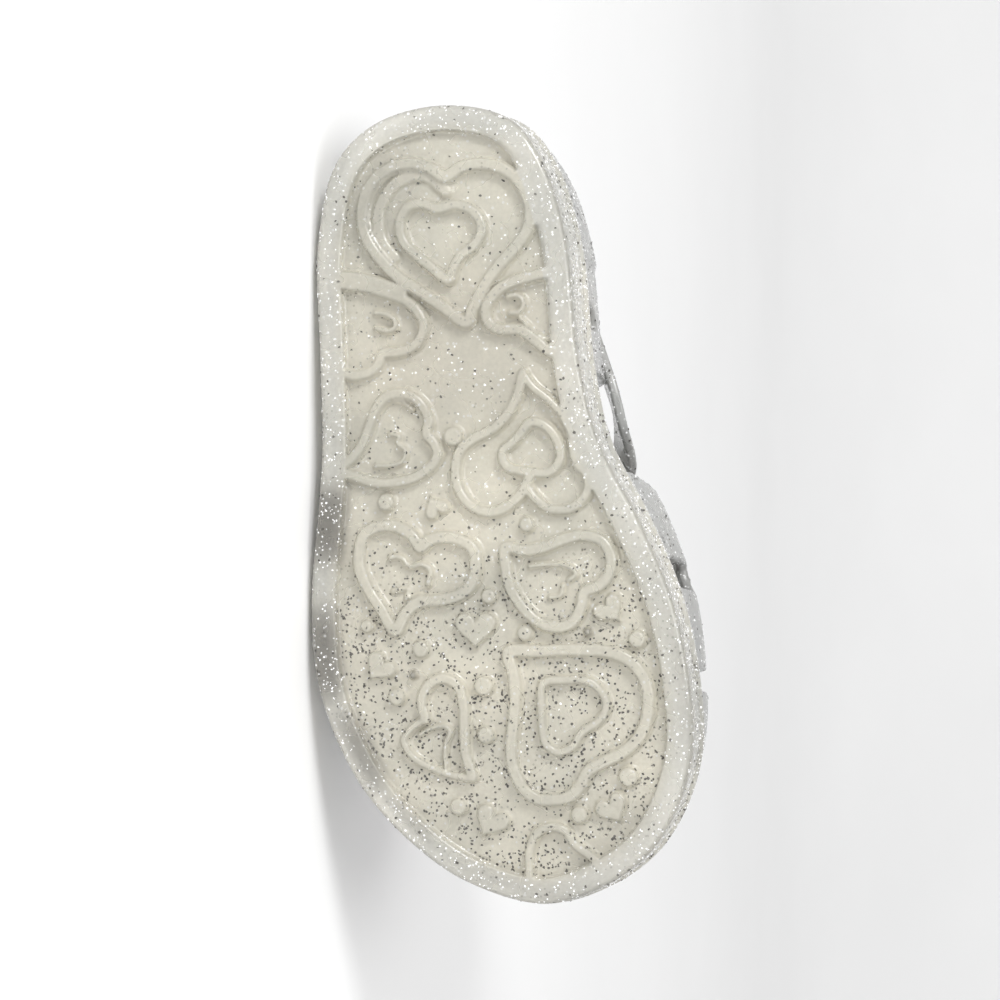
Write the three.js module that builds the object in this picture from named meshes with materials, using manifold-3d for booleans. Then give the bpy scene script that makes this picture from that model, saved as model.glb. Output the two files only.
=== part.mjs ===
// A child's jelly sandal for the left foot, in clear moulded plastic with hearts under the sole.
// It is modelled standing, in millimetres: x from heel to toe, y to the lateral side, z up from the ground.
// The last lines lay it down on its lateral side, as it is kept, with the floor at z = 0.
import * as THREE from "three";
import { mergeVertices } from "three/addons/utils/BufferGeometryUtils.js";
import Module from "manifold-3d";

const wasm = await Module();
wasm.setup();

// Sole
const LENGTH = 140;
const BALL_WIDTH = 66.6;
const HEEL_THICKNESS = 12.5;
const BALL_THICKNESS = 9;
const TOE_SPRING = 4.6;
const HEEL_SPRING = 0.8;
const ARCH_HEIGHT = 0.8;
const RIM_WIDTH = 4.8;
const TREAD_DEPTH = 1.9;
const EDGE_RADIUS = 1.1;
const WELT_OUT_WIDTH = 0.8;
const WELT_HEIGHT = 2.2;
const WELT_GROOVE = 0.5;
const INSOLE_THICKNESS = 1.6;
const INSOLE_BEVEL = 0.6;

// Upper. TOE_DOME_SHARE, HEEL_CENTRE_SHARE, STRAP_CROSSING_SHARE: shares of the length.
// SWELL_SHARE: how much of the way from the sole to the ridge swells.
// STRAP_LEVEL_SHARE: share of the counter's height.
const WALL = 2;
const RAND_WALL = 2.8;
const RAND_HEIGHT = 3.6;
const RAND_SETBACK = 0.2;
const INSTEP_HEIGHT = 48;
const TOE_DOME_SHARE = 0.1643;
const SECTION_FULLNESS = 2.5;
const HALF_GIRTH = 50;
const MEDIAL_SWELL_WIDTH = 3.2;
const SWELL_SHARE = 0.62;
const COUNTER_HEIGHT = 35;
const COUNTER_LEAN = 5;
const COUNTER_BULGE_WIDTH = 0.5;
const HEEL_CENTRE_SHARE = 0.1857;
const HEEL_PANEL_STEP = 0.6;
const STRAP_WIDTH = 8;
const STRAP_THICKNESS = 1.8;
const STRAP_LEVEL_SHARE = 0.7714;
const STRAP_CROSSING_SHARE = 0.47;
const STRAP_SIDE_PLAY = 0.8;
const LOOP_WIDTH = 7;
const LOOP_WALL = 1.5;

// Buckle and bow. BOW_PLACE_SHARE: share of the length.
const BAR_WIDTH = 1.6;
const BUCKLE_LENGTH = 11;
const BUCKLE_TILT = 26;
const PRONG_WIDTH = 1.4;
const PRONG_THICKNESS = 1.1;
const PRONG_TIP = 1.2;
const KNUCKLE_RADIUS = 2.4;
const TAB_LENGTH = 10;
const TIP_LENGTH = 14;
const TIP_SHARE = 0.55;
const BOW_PLACE_SHARE = 0.6786;
const BOW_SPAN = 47;
const BOW_WIDTH = 15;
const BOW_WAIST = 8;
const BOW_RIBBON = 1.5;
const BOW_LOOP_HEIGHT = 5.5;
const BOW_END_LIFT = 2;
const KNOT_WIDTH = 7.5;
const KNOT_WALL = 1.4;

const GAP = 0.3;
const BUCKLE_HALF_WIDTH = STRAP_WIDTH / 2 + STRAP_SIDE_PLAY + BAR_WIDTH;
const PLASTIC_DENSITY = 1.2;
const STEEL_DENSITY = 7.8;

const CLEAR = { color: 0xd4d3c8, roughness: 0.22, metalness: 0 };
const INNER = { color: 0xdcdcd6, roughness: 0.35, metalness: 0 };
const STEEL = { color: 0xc9cbcd, roughness: 0.25, metalness: 1 };
const PINK = { color: 0xc4607c, roughness: 0.3, metalness: 0 };

// The ground edge of the sole. at: share of the length.
// lateral, medial, side: shares of the ball width, from the long axis.
const HEEL_TIP = { at: 0, side: 0.112 };
const TOE_TIP = { at: 1, side: -0.155 };
const OUTLINE = [
  { at: 0.02, lateral: 0.293, medial: -0.069 },
  { at: 0.07, lateral: 0.401, medial: -0.156 },
  { at: 0.17, lateral: 0.45, medial: -0.224 },
  { at: 0.32, lateral: 0.443, medial: -0.259 },
  { at: 0.42, lateral: 0.44, medial: -0.309 },
  { at: 0.52, lateral: 0.45, medial: -0.42 },
  { at: 0.62, lateral: 0.465, medial: -0.508 },
  { at: 0.72, lateral: 0.45, medial: -0.552 },
  { at: 0.8, lateral: 0.397, medial: -0.558 },
  { at: 0.87, lateral: 0.314, medial: -0.518 },
  { at: 0.93, lateral: 0.196, medial: -0.44 },
  { at: 0.975, lateral: 0.055, medial: -0.315 },
];

// The sole from the side. heelSpring, arch, toeSpring: shares of those rises off the ground.
// heel: share of the heel's extra thickness.
const SIDE = [
  { at: 0, heelSpring: 1, arch: 0, toeSpring: 0, heel: 1 },
  { at: 0.06, heelSpring: 0, arch: 0, toeSpring: 0, heel: 1 },
  { at: 0.32, heelSpring: 0, arch: 0, toeSpring: 0, heel: 0.9 },
  { at: 0.44, heelSpring: 0, arch: 1, toeSpring: 0, heel: 0.5 },
  { at: 0.56, heelSpring: 0, arch: 0, toeSpring: 0, heel: 0.15 },
  { at: 0.7, heelSpring: 0, arch: 0, toeSpring: 0, heel: 0 },
  { at: 0.85, heelSpring: 0, arch: 0, toeSpring: 0.3, heel: -0.05 },
  { at: 1, heelSpring: 0, arch: 0, toeSpring: 1, heel: -0.2 },
];

// height: the vamp's ridge over the featherline, as a share of the instep's height.
// swell: how far its medial side stands out over the sole, as a share of the medial swell.
const RIDGE = [
  { at: 0.38, height: 1.04, swell: 0.5 },
  { at: 0.46, height: 0.97, swell: 0.9 },
  { at: 0.54, height: 0.85, swell: 1 },
  { at: 0.62, height: 0.71, swell: 1 },
  { at: 0.7, height: 0.6, swell: 0.85 },
  { at: 0.8, height: 0.52, swell: 0.55 },
  { at: 0.9, height: 0.47, swell: 0.15 },
  { at: 1, height: 0.44, swell: 0 },
];

// Hearts of the tread. at: share of the length. side: share of the ball width.
// size: width over the ball width.
// turn: degrees from a heart whose point is towards the toe.
// rings: outer and inner shares of the size, with inner 0 for a solid heart.
const HEARTS = [
  { at: 0.166, side: 0.098, size: 0.495, turn: -5, rings: [[1, 0.86], [0.5, 0.3]] },
  { at: 0.272, side: 0.3, size: 0.27, turn: 118, rings: [[1, 0.74], [0.4, 0]] },
  { at: 0.264, side: -0.118, size: 0.27, turn: -115, rings: [[1, 0.74], [0.4, 0]] },
  { at: 0.417, side: 0.252, size: 0.265, turn: 52, rings: [[1, 0.74], [0.42, 0]] },
  { at: 0.438, side: -0.088, size: 0.36, turn: -165, rings: [[1, 0.8], [0.5, 0.24]] },
  { at: 0.59, side: 0.185, size: 0.34, turn: 16, rings: [[1, 0.8], [0.4, 0]] },
  { at: 0.595, side: -0.19, size: 0.32, turn: 118, rings: [[1, 0.78], [0.4, 0]] },
  { at: 0.77, side: -0.25, size: 0.43, turn: 144, rings: [[1, 0.83], [0.53, 0.31]] },
  { at: 0.78, side: 0.125, size: 0.29, turn: -36, rings: [[1, 0.76], [0.42, 0]] },
  { at: 0.93, side: -0.19, size: 0.19, turn: 180, rings: [[1, 0.62]] },
  { at: 0.66, side: 0.022, size: 0.115, turn: 0, rings: [[1, 0]] },
  { at: 0.63, side: -0.338, size: 0.105, turn: -40, rings: [[1, 0]] },
  { at: 0.696, side: 0.278, size: 0.1, turn: 40, rings: [[1, 0]] },
  { at: 0.5, side: 0.122, size: 0.085, turn: 150, rings: [[1, 0]] },
  { at: 0.9, side: -0.03, size: 0.1, turn: 30, rings: [[1, 0]] },
  { at: 0.876, side: -0.345, size: 0.1, turn: -30, rings: [[1, 0]] },
  { at: 0.498, side: 0.315, size: 0.09, turn: 90, rings: [[1, 0]] },
];

// Round studs of the tread. at: share of the length. side: share of the ball width.
const STUD_RADIUS = 1.5;
const STUDS = [
  { at: 0.417, side: 0.082 },
  { at: 0.524, side: -0.12 },
  { at: 0.616, side: -0.015 },
  { at: 0.655, side: 0.325 },
  { at: 0.662, side: -0.114 },
  { at: 0.667, side: -0.419 },
  { at: 0.682, side: 0.168 },
  { at: 0.73, side: 0.003 },
  { at: 0.79, side: 0 },
  { at: 0.747, side: 0.24 },
  { at: 0.884, side: 0.066 },
  { at: 0.887, side: -0.264 },
  { at: 0.843, side: -0.399 },
];

// Windows of one side of the vamp. at: share of the length. reach: 0 at the ridge, 1 at the sole.
// long: share of the half girth. wide: share of the length.
// slant: degrees, leaning to the toe towards the ridge.
const WINDOWS = [
  { at: 0.592, reach: 0.82, long: 0.26, wide: 0.036, slant: 8 },
  { at: 0.63, reach: 0.42, long: 0.34, wide: 0.032, slant: 14 },
  { at: 0.733, reach: 0.6, long: 0.68, wide: 0.026, slant: 6 },
  { at: 0.853, reach: 0.55, long: 0.5, wide: 0.036, slant: -4 },
  { at: 0.95, reach: 0.5, long: 0.3, wide: 0.028, slant: -14 },
];

// Rear edge of one side of the vamp, from the sole to the end of the centre strap.
const VAMP_EDGE = [
  { reach: 0.985, at: 0.455 },
  { reach: 0.88, at: 0.462 },
  { reach: 0.7, at: 0.488 },
  { reach: 0.5, at: 0.528 },
  { reach: 0.3, at: 0.568 },
  { reach: 0.19, at: 0.575 },
  { reach: 0.125, at: 0.55 },
  { reach: 0.11, at: 0.415 },
  { reach: 0, at: 0.415 },
];

// One side of the heel counter, from its back to its front post.
// at: share of the length. low, high: shares of the counter's height.
const COUNTER_FRONT = 0.327;
const COUNTER_END = 0.339;
const COUNTER_SECTIONS = [
  { at: 0, low: 0.04, high: 1.09 },
  { at: 0.02, low: 0.04, high: 1.08 },
  { at: 0.04, low: 0.04, high: 1.07 },
  { at: 0.085, low: 0.04, high: 1.045 },
  { at: 0.135, low: 0.04, high: 1.02 },
  { at: 0.185, low: 0.04, high: 1 },
  { at: 0.235, low: 0.04, high: 0.985 },
  { at: 0.268, low: 0.04, high: 0.975 },
  { at: 0.3, low: 0.04, high: 0.965 },
  { at: COUNTER_FRONT, low: 0.04, high: 0.955 },
  { at: COUNTER_END, low: 0.66, high: 0.945 },
];
const COUNTER_WINDOW = { from: 0.24, to: 0.272, low: 0.115, high: 0.36 };
const HEEL_PANEL = { front: 0.183, low: 0.06, high: 0.74, top: 0.84 };

// The ankle strap over the foot, off the vamp's surface as it would run on.
// off: distance in wall thicknesses.
const OVER_FOOT = {
  medial: [
    { at: 0.44, reach: -0.52, off: 0.6 },
    { at: 0.462, reach: -0.26, off: 1 },
  ],
  lateral: [
    { at: 0.462, reach: 0.26, off: 1 },
    { at: 0.458, reach: 0.42, off: 0.5 },
  ],
};

// The fold of the centre strap over the ankle strap.
// along: share of half its length. high: share of its rise.
const FOLD = [
  { along: -1, high: 0 },
  { along: -0.88, high: 0.55 },
  { along: -0.5, high: 1 },
  { along: 0, high: 1.04 },
  { along: 0.5, high: 1 },
  { along: 0.88, high: 0.55 },
  { along: 1, high: 0 },
];

// How finely the curved walls are faceted, and the small steps of the reckoning.
const STATIONS = 24;
const COUNTER_ROWS = 5;
const VAMP_ROWS = 14;
const VAMP_COLUMNS = [0.04, 0.11, 0.125, 0.19, 0.28, 0.38, 0.49, 0.6, 0.71, 0.82, 0.91, 0.985];
const STRAP_STEPS = 40;
const BIG_HEART_POINTS = 16;
const SMALL_HEART_POINTS = 10;
const BIG_HEART = 14;
const DOME_END = 1.5;
const CUT_REACH = 2;
const PLACE_STEP = 0.05;
const REACH_STEP = 0.002;
const RIDGE_SIDE = 0.0005;
const OUTLINE_POINTS = 600;
const SIDE_POINTS = 120;
const COLUMN_POINTS = 12;
const ROD_SIDES = 12;
const FOLD_STEPS = 14;
const PANEL_STEPS = 12;
const CURVE_STEPS = 4;
const WINDOW_STEPS = 5;
const WELD = 1e-4;

const TURN = Math.PI / 180;
const lerp = THREE.MathUtils.lerp;
const at = (share) => share * LENGTH;
const across = (share) => share * BALL_WIDTH;

// A smooth line through one column of a table, read at a distance x along the shoe.
function column(table, name) {
  const line = new THREE.CatmullRomCurve3(
    table.map((row) => new THREE.Vector3(at(row.at), row[name], 0)),
    false,
    "centripetal",
  ).getPoints(table.length * COLUMN_POINTS);
  return (x) => valueOn(line, x, "y");
}

// The value of key on a line of points that is sorted by x.
function valueOn(line, x, key) {
  const next = line.findIndex((p) => p.x > x);
  if (next < 0) return line[line.length - 1][key];
  if (next === 0) return line[0][key];
  const a = line[next - 1];
  const b = line[next];
  return lerp(a[key], b[key], (x - a.x) / (b.x - a.x));
}

const heelSpring = column(SIDE, "heelSpring");
const archLift = column(SIDE, "arch");
const toeSpring = column(SIDE, "toeSpring");
const heelShare = column(SIDE, "heel");
const ridgeShare = column(RIDGE, "height");
const swellShare = column(RIDGE, "swell");

const under = (x) =>
  Math.max(0, HEEL_SPRING * heelSpring(x)) +
  Math.max(0, ARCH_HEIGHT * archLift(x)) +
  Math.max(0, TOE_SPRING * toeSpring(x));
const soleTop = (x) =>
  under(x) + lerp(BALL_THICKNESS, HEEL_THICKNESS, heelShare(x)) - ARCH_HEIGHT * archLift(x);

const outlineCurve = new THREE.CatmullRomCurve3(
  [
    new THREE.Vector3(0, across(HEEL_TIP.side), 0),
    ...OUTLINE.map((row) => new THREE.Vector3(at(row.at), across(row.lateral), 0)),
    new THREE.Vector3(LENGTH, across(TOE_TIP.side), 0),
    ...OUTLINE.toReversed().map((row) => new THREE.Vector3(at(row.at), across(row.medial), 0)),
  ],
  true,
  "centripetal",
);

// Points round the outline, moved in by inset: from the heel's tip, lateral side first, to the toe and back.
function ring(inset, stations = STATIONS) {
  const dense = outlineCurve.getPoints(OUTLINE_POINTS);
  const toe = dense.reduce((best, p, i) => (p.x > dense[best].x ? i : best), 0);
  const lateral = dense.slice(0, toe + 1);
  const medial = dense.slice(toe).reverse();
  const xs = Array.from({ length: stations - 1 }, (_, i) =>
    (LENGTH * (1 - Math.cos((Math.PI * (i + 1)) / stations))) / 2,
  );
  const points = [
    new THREE.Vector2(dense[0].x, dense[0].y),
    ...xs.map((x) => new THREE.Vector2(x, valueOn(lateral, x, "y"))),
    new THREE.Vector2(dense[toe].x, dense[toe].y),
    ...xs.toReversed().map((x) => new THREE.Vector2(x, valueOn(medial, x, "y"))),
  ];
  return points.map((p, i) => {
    const before = points.at(i - 1);
    const after = points[(i + 1) % points.length];
    const along = after.clone().sub(before).normalize();
    return new THREE.Vector2(p.x + along.y * inset, p.y - along.x * inset);
  });
}

// The two sides of the outline at inset, as functions of x.
function sides(inset) {
  const points = ring(inset, SIDE_POINTS);
  const lateral = points.slice(0, SIDE_POINTS + 1);
  const medial = [points[0], ...points.slice(SIDE_POINTS).reverse()].slice(0, SIDE_POINTS + 1);
  return {
    last: points[SIDE_POINTS].x,
    lateral: (x) => valueOn(lateral, x, "y"),
    medial: (x) => valueOn(medial, x, "y"),
    line: { lateral, medial },
  };
}

// A solid from rows of triangles' corners, turned so that its faces point out.
function solid(corners, faces) {
  const volumeUnder = ([a, b, c]) => corners[a].dot(corners[b].clone().cross(corners[c]));
  const volume = faces.reduce((sum, face) => sum + volumeUnder(face), 0);
  const turned = volume < 0 ? faces.map(([a, b, c]) => [a, c, b]) : faces;
  return new wasm.Manifold(
    new wasm.Mesh({
      numProp: 3,
      vertProperties: new Float32Array(corners.flatMap((p) => [p.x, p.y, p.z])),
      triVerts: new Uint32Array(turned.flat()),
    }),
  );
}

// A three.js geometry as a solid.
function solidOf(geometry) {
  const plain = geometry.clone();
  plain.deleteAttribute("normal");
  plain.deleteAttribute("uv");
  const merged = mergeVertices(plain, WELD);
  const position = merged.getAttribute("position");
  const corners = Array.from({ length: position.count }, (_, i) =>
    new THREE.Vector3().fromBufferAttribute(position, i),
  );
  const index = merged.index.array;
  const faces = Array.from({ length: index.length / 3 }, (_, i) => [
    index[3 * i],
    index[3 * i + 1],
    index[3 * i + 2],
  ]);
  return solid(corners, faces);
}

// A solid with closed rings of corners one after another.
// Round, the last meets the first; else both ends are capped.
function loft(rings, round = false) {
  const n = rings[0].length;
  const faces = [];
  const last = rings.length - (round ? 0 : 1);
  for (let i = 0; i < last; i++) {
    const a = i * n;
    const b = ((i + 1) % rings.length) * n;
    for (let k = 0; k < n; k++) {
      const l = (k + 1) % n;
      faces.push([a + k, b + k, b + l], [a + k, b + l, a + l]);
    }
  }
  if (!round) {
    const end = (rings.length - 1) * n;
    for (let k = 1; k < n - 1; k++) faces.push([0, k, k + 1], [end, end + k + 1, end + k]);
  }
  return solid(rings.flat(), faces);
}

// A solid of stacked outlines, from the bottom up: each level is { inset, z(x) }.
// Its ends are bridged straight across.
function stack(levels) {
  const rings = levels.map(({ inset, z }) => ring(inset).map((p) => new THREE.Vector3(p.x, p.y, z(p.x))));
  const n = rings[0].length;
  const faces = [];
  for (let i = 0; i < rings.length - 1; i++)
    for (let k = 0; k < n; k++) {
      const l = (k + 1) % n;
      faces.push([i * n + k, (i + 1) * n + k, (i + 1) * n + l], [i * n + k, (i + 1) * n + l, i * n + l]);
    }
  const bridge = (start, up) => {
    const put = (a, b, c) => {
      const [second, third] = up ? [b, c] : [c, b];
      faces.push([start + a, start + second, start + third]);
    };
    put(0, n - 1, 1);
    for (let i = 1; i < STATIONS - 1; i++) {
      put(i, n - i, n - i - 1);
      put(i, n - i - 1, i + 1);
    }
    put(STATIONS - 1, STATIONS + 1, STATIONS);
  };
  bridge(0, false);
  bridge((rings.length - 1) * n, true);
  return solid(rings.flat(), faces);
}

// Tread

// The usual heart curve, which is twice HEART_HALF units wide, with its point along +x.
const HEART_HALF = 16;
const HEART_WAVES = [13, -5, -2, -1];

function heartShape(width, points) {
  const unit = width / (2 * HEART_HALF);
  const shape = new THREE.Shape();
  for (let i = 0; i < points; i++) {
    const t = (2 * Math.PI * i) / points;
    const right = unit * HEART_HALF * Math.sin(t) ** 3;
    const up = HEART_WAVES.reduce((sum, share, k) => sum + unit * share * Math.cos((k + 1) * t), 0);
    if (i) shape.lineTo(-up, -right);
    else shape.moveTo(-up, -right);
  }
  return shape.closePath();
}

const TREAD_REACH = 20;

// A flat shape, thickened to both sides.
function extruded(shape, depth) {
  const options = { depth, bevelEnabled: false, curveSegments: CURVE_STEPS };
  const geometry = new THREE.ExtrudeGeometry(shape, options);
  geometry.translate(0, 0, -depth / 2);
  return geometry;
}

// An upright prism through the whole tread, over a flat shape.
function pillar(shape, x, y, turn) {
  const prism = extruded(shape, 2 * TREAD_REACH);
  prism.rotateZ(turn * TURN);
  prism.translate(x, y, 0);
  return solidOf(prism);
}

function heartPillars({ at: along, side, size, turn, rings }) {
  return rings.map(([outer, inner]) => {
    const width = across(size) * outer;
    const points = width > BIG_HEART ? BIG_HEART_POINTS : SMALL_HEART_POINTS;
    const shape = heartShape(width, points);
    if (inner) shape.holes.push(heartShape(across(size) * inner, points));
    return pillar(shape, at(along), across(side), turn);
  });
}

function studPillar({ at: along, side }) {
  const shape = new THREE.Shape();
  shape.absarc(0, 0, STUD_RADIUS, 0, 2 * Math.PI);
  return pillar(shape, at(along), across(side), 0);
}

// Levels of the outsole's side: how far each corner of the rounded edge, the groove and the welt is moved.
const EDGE_CORNER = { inset: 0.25, rise: 0.3 };
const WELT_ROOT_SHARE = 0.4;
const HOLLOW_FLARE_SHARE = 0.2;

function outsole() {
  const lift = (height) => (x) => under(x) + height;
  const drop = (height) => (x) => soleTop(x) - height;
  const body = stack([
    { inset: EDGE_RADIUS, z: under },
    { inset: EDGE_RADIUS * EDGE_CORNER.inset, z: lift(EDGE_RADIUS * EDGE_CORNER.rise) },
    { inset: 0, z: lift(EDGE_RADIUS) },
    { inset: -WELT_OUT_WIDTH * WELT_ROOT_SHARE, z: drop(WELT_HEIGHT + WELT_GROOVE) },
    { inset: 0, z: drop(WELT_HEIGHT + WELT_GROOVE * WELT_ROOT_SHARE) },
    { inset: -WELT_OUT_WIDTH, z: drop(WELT_HEIGHT) },
    { inset: -WELT_OUT_WIDTH, z: drop(WELT_GROOVE) },
    { inset: -WELT_OUT_WIDTH * WELT_ROOT_SHARE, z: soleTop },
  ]);
  const hollow = stack([
    { inset: RIM_WIDTH - TREAD_DEPTH * HOLLOW_FLARE_SHARE, z: lift(-TREAD_DEPTH) },
    { inset: RIM_WIDTH, z: lift(TREAD_DEPTH) },
  ]);
  const lugs = [...HEARTS.flatMap(heartPillars), ...STUDS.map(studPillar)];
  return body.subtract(hollow.subtract(wasm.Manifold.union(lugs)));
}

// Footbed

const randInset = RAND_SETBACK + RAND_WALL / 2;

function insole() {
  const edge = RAND_SETBACK + RAND_WALL + GAP;
  const rise = (height) => (x) => soleTop(x) + GAP + height;
  return stack([
    { inset: edge, z: rise(0) },
    { inset: edge, z: rise(INSOLE_THICKNESS - INSOLE_BEVEL) },
    { inset: edge + INSOLE_BEVEL, z: rise(INSOLE_THICKNESS) },
  ]);
}

// Upper

const feather = sides(randInset);
const featherZ = (x) => soleTop(x) + GAP;
const middle = (x) => (feather.lateral(x) + feather.medial(x)) / 2;
const domeStart = LENGTH - at(TOE_DOME_SHARE);
const heelCentre = at(HEEL_CENTRE_SHARE);
const domeRun = feather.last - domeStart;

// Past the start of the toe's dome, a pattern distance u runs round the dome, so that it stays even.
function alongDome(u) {
  const turned = Math.max(0, (u - domeStart) / domeRun);
  return { x: turned ? domeStart + domeRun * Math.sin(turned) : u, fall: Math.cos(turned) };
}

// How far the medial side of the vamp stands out over the sole.
function swell(x, reach) {
  const up = Math.min(1, (1 + reach) / SWELL_SHARE);
  return MEDIAL_SWELL_WIDTH * Math.max(0, swellShare(x)) * Math.sin(Math.PI * up) ** 2;
}

// The middle of the vamp's wall: u along the shoe, reach from -1 at the medial sole over 0 at the ridge to 1.
function vampMiddle(u, reach) {
  const { x, fall } = alongDome(u);
  const angle = ((1 - Math.abs(reach)) * Math.PI) / 2;
  const full = 2 / SECTION_FULLNESS;
  const half = (feather.lateral(x) - feather.medial(x)) / 2;
  return new THREE.Vector3(
    x,
    middle(x) + Math.sign(reach) * half * Math.cos(angle) ** full - swell(x, reach),
    featherZ(x) + INSTEP_HEIGHT * ridgeShare(x) * fall * Math.sin(angle) ** full,
  );
}

// Distance along the featherline from the heel's tip, for each side.
function walk(line) {
  const walked = [{ x: 0, y: line[0].x, z: line[0].y }];
  for (let i = 1; i < line.length; i++)
    walked.push({ x: walked[i - 1].x + line[i].distanceTo(line[i - 1]), y: line[i].x, z: line[i].y });
  return walked;
}
const walks = { lateral: walk(feather.line.lateral), medial: walk(feather.line.medial) };

// The pattern distance of a place at x along the shoe, positive on the lateral side.
function walkTo(x, side) {
  const swapped = walks[side].map((p) => ({ x: p.y, y: p.x }));
  return (side === "lateral" ? 1 : -1) * valueOn(swapped, x, "y");
}

// The middle of the counter's wall: s round the heel from its back, up from the featherline in millimetres.
function counterMiddle(s, up) {
  const walked = walks[s >= 0 ? "lateral" : "medial"];
  const x = valueOn(walked, Math.abs(s), "y");
  const y = valueOn(walked, Math.abs(s), "z");
  const centreX = Math.max(x, heelCentre);
  const inward = new THREE.Vector2(centreX - x, middle(centreX) - y).normalize();
  const share = up / COUNTER_HEIGHT;
  const bulge = COUNTER_BULGE_WIDTH * Math.sin(Math.PI * Math.min(1, share));
  const lean = COUNTER_LEAN * share * share - bulge;
  return new THREE.Vector3(x + inward.x * lean, y + inward.y * lean, featherZ(x) + up);
}

// A place on a wall's middle surface, moved out by a distance along its normal.
function offWall(surface, u, v, stepV, out) {
  const stepU = PLACE_STEP;
  const here = surface(u, v);
  const du = surface(u + stepU, v).sub(surface(u - stepU, v));
  const dv = surface(u, v + stepV).sub(surface(u, v - stepV));
  const normal = du.cross(dv).normalize();
  const inside = Math.max(heelCentre, Math.min(here.x, domeStart));
  const away = new THREE.Vector3(here.x - inside, here.y - middle(inside), here.z);
  if (normal.dot(away) < 0) normal.negate();
  return here.addScaledVector(normal, out);
}
const onVamp = (u, reach, out) => offWall(vampMiddle, u, reach, REACH_STEP, out);
const onCounter = (s, up, out) => offWall(counterMiddle, s, up, PLACE_STEP, out);

// A wall from rows of [inner, outer] pairs of places.
function shell(rows) {
  const m = rows[0].length;
  const n = rows.length;
  const inner = (i, j) => 2 * (i * m + j);
  const outer = (i, j) => inner(i, j) + 1;
  const faces = [];
  const quad = (a, b, c, d) => faces.push([a, b, c], [a, c, d]);
  for (let i = 0; i < n - 1; i++) {
    for (let j = 0; j < m - 1; j++) {
      quad(outer(i, j), outer(i + 1, j), outer(i + 1, j + 1), outer(i, j + 1));
      quad(inner(i, j), inner(i, j + 1), inner(i + 1, j + 1), inner(i + 1, j));
    }
    quad(outer(i + 1, 0), outer(i, 0), inner(i, 0), inner(i + 1, 0));
    quad(outer(i, m - 1), outer(i + 1, m - 1), inner(i + 1, m - 1), inner(i, m - 1));
  }
  for (let j = 0; j < m - 1; j++) {
    quad(outer(0, j), outer(0, j + 1), inner(0, j + 1), inner(0, j));
    quad(outer(n - 1, j + 1), outer(n - 1, j), inner(n - 1, j), inner(n - 1, j + 1));
  }
  return solid(rows.flat(2), faces);
}

const steps = (count) => Array.from({ length: count + 1 }, (_, i) => i / count);

// The vamp's wall, from its rear edge over the toe, with the centre strap's tongue.
function vamp() {
  const edge = VAMP_EDGE.map((row) => new THREE.Vector3(row.reach, at(row.at), 0)).reverse();
  const half = VAMP_COLUMNS.map((reach) => ({ reach, rear: valueOn(edge, reach, "y") }));
  const columns = [...half.toReversed().map(({ reach, rear }) => ({ reach: -reach, rear })), ...half];
  const end = domeStart + domeRun * DOME_END;
  const rows = columns.map(({ reach, rear }) =>
    steps(VAMP_ROWS).map((share) => {
      const u = lerp(rear, end, share);
      return [onVamp(u, reach, -WALL / 2), onVamp(u, reach, WALL / 2)];
    }),
  );
  const cuts = [1, -1].flatMap((side) => WINDOWS.map((window) => slot(window, side)));
  return shell(rows).subtract(wasm.Manifold.union(cuts));
}

// What is cut out of the vamp for a window with round ends.
// SLOT_END: where its round ends have corners, as shares of their radius from the tip.
const SLOT_END = [0.08, 0.35, 0.7];
function slot({ at: along, reach, long, wide, slant }, side) {
  const radius = at(wide) / 2;
  const half = (long * HALF_GIRTH) / 2;
  const centre = new THREE.Vector2(at(along), side * reach * HALF_GIRTH);
  const lean = new THREE.Vector2(0, 1).rotateAround(new THREE.Vector2(), side * slant * TURN);
  const across90 = new THREE.Vector2(-lean.y, lean.x);
  const through = WALL / 2 + CUT_REACH;
  const end = SLOT_END.map((share) => half - radius * share);
  const straight = steps(CURVE_STEPS).map((share) => lerp(half - radius, radius - half, share));
  const sorted = [...end, ...straight, ...end.map((mark) => -mark)].sort((a, b) => a - b);
  return shell(
    sorted.map((mark) => {
      const past = Math.max(0, Math.abs(mark) - (half - radius));
      const width = Math.sqrt(radius * radius - past * past);
      return [-width, width].map((aside) => {
        const p = centre.clone().addScaledVector(lean, mark).addScaledVector(across90, aside);
        return [onVamp(p.x, p.y / HALF_GIRTH, -through), onVamp(p.x, p.y / HALF_GIRTH, through)];
      });
    }),
  );
}

// The counter's wall, from the medial front post round the heel to the lateral one.
function counter() {
  const section = ({ at: share, low, high }, side) => {
    const s = share ? walkTo(at(share), side) : 0;
    return steps(COUNTER_ROWS).map((step) => {
      const up = lerp(low * COUNTER_HEIGHT, high * COUNTER_HEIGHT, step);
      return [onCounter(s, up, -WALL / 2), onCounter(s, up, WALL / 2)];
    });
  };
  const rows = [
    ...COUNTER_SECTIONS.toReversed().map((row) => section(row, "medial")),
    ...COUNTER_SECTIONS.slice(1).map((row) => section(row, "lateral")),
  ];
  const cuts = ["lateral", "medial"].map(counterWindow);
  return shell(rows).subtract(wasm.Manifold.union(cuts));
}

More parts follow.
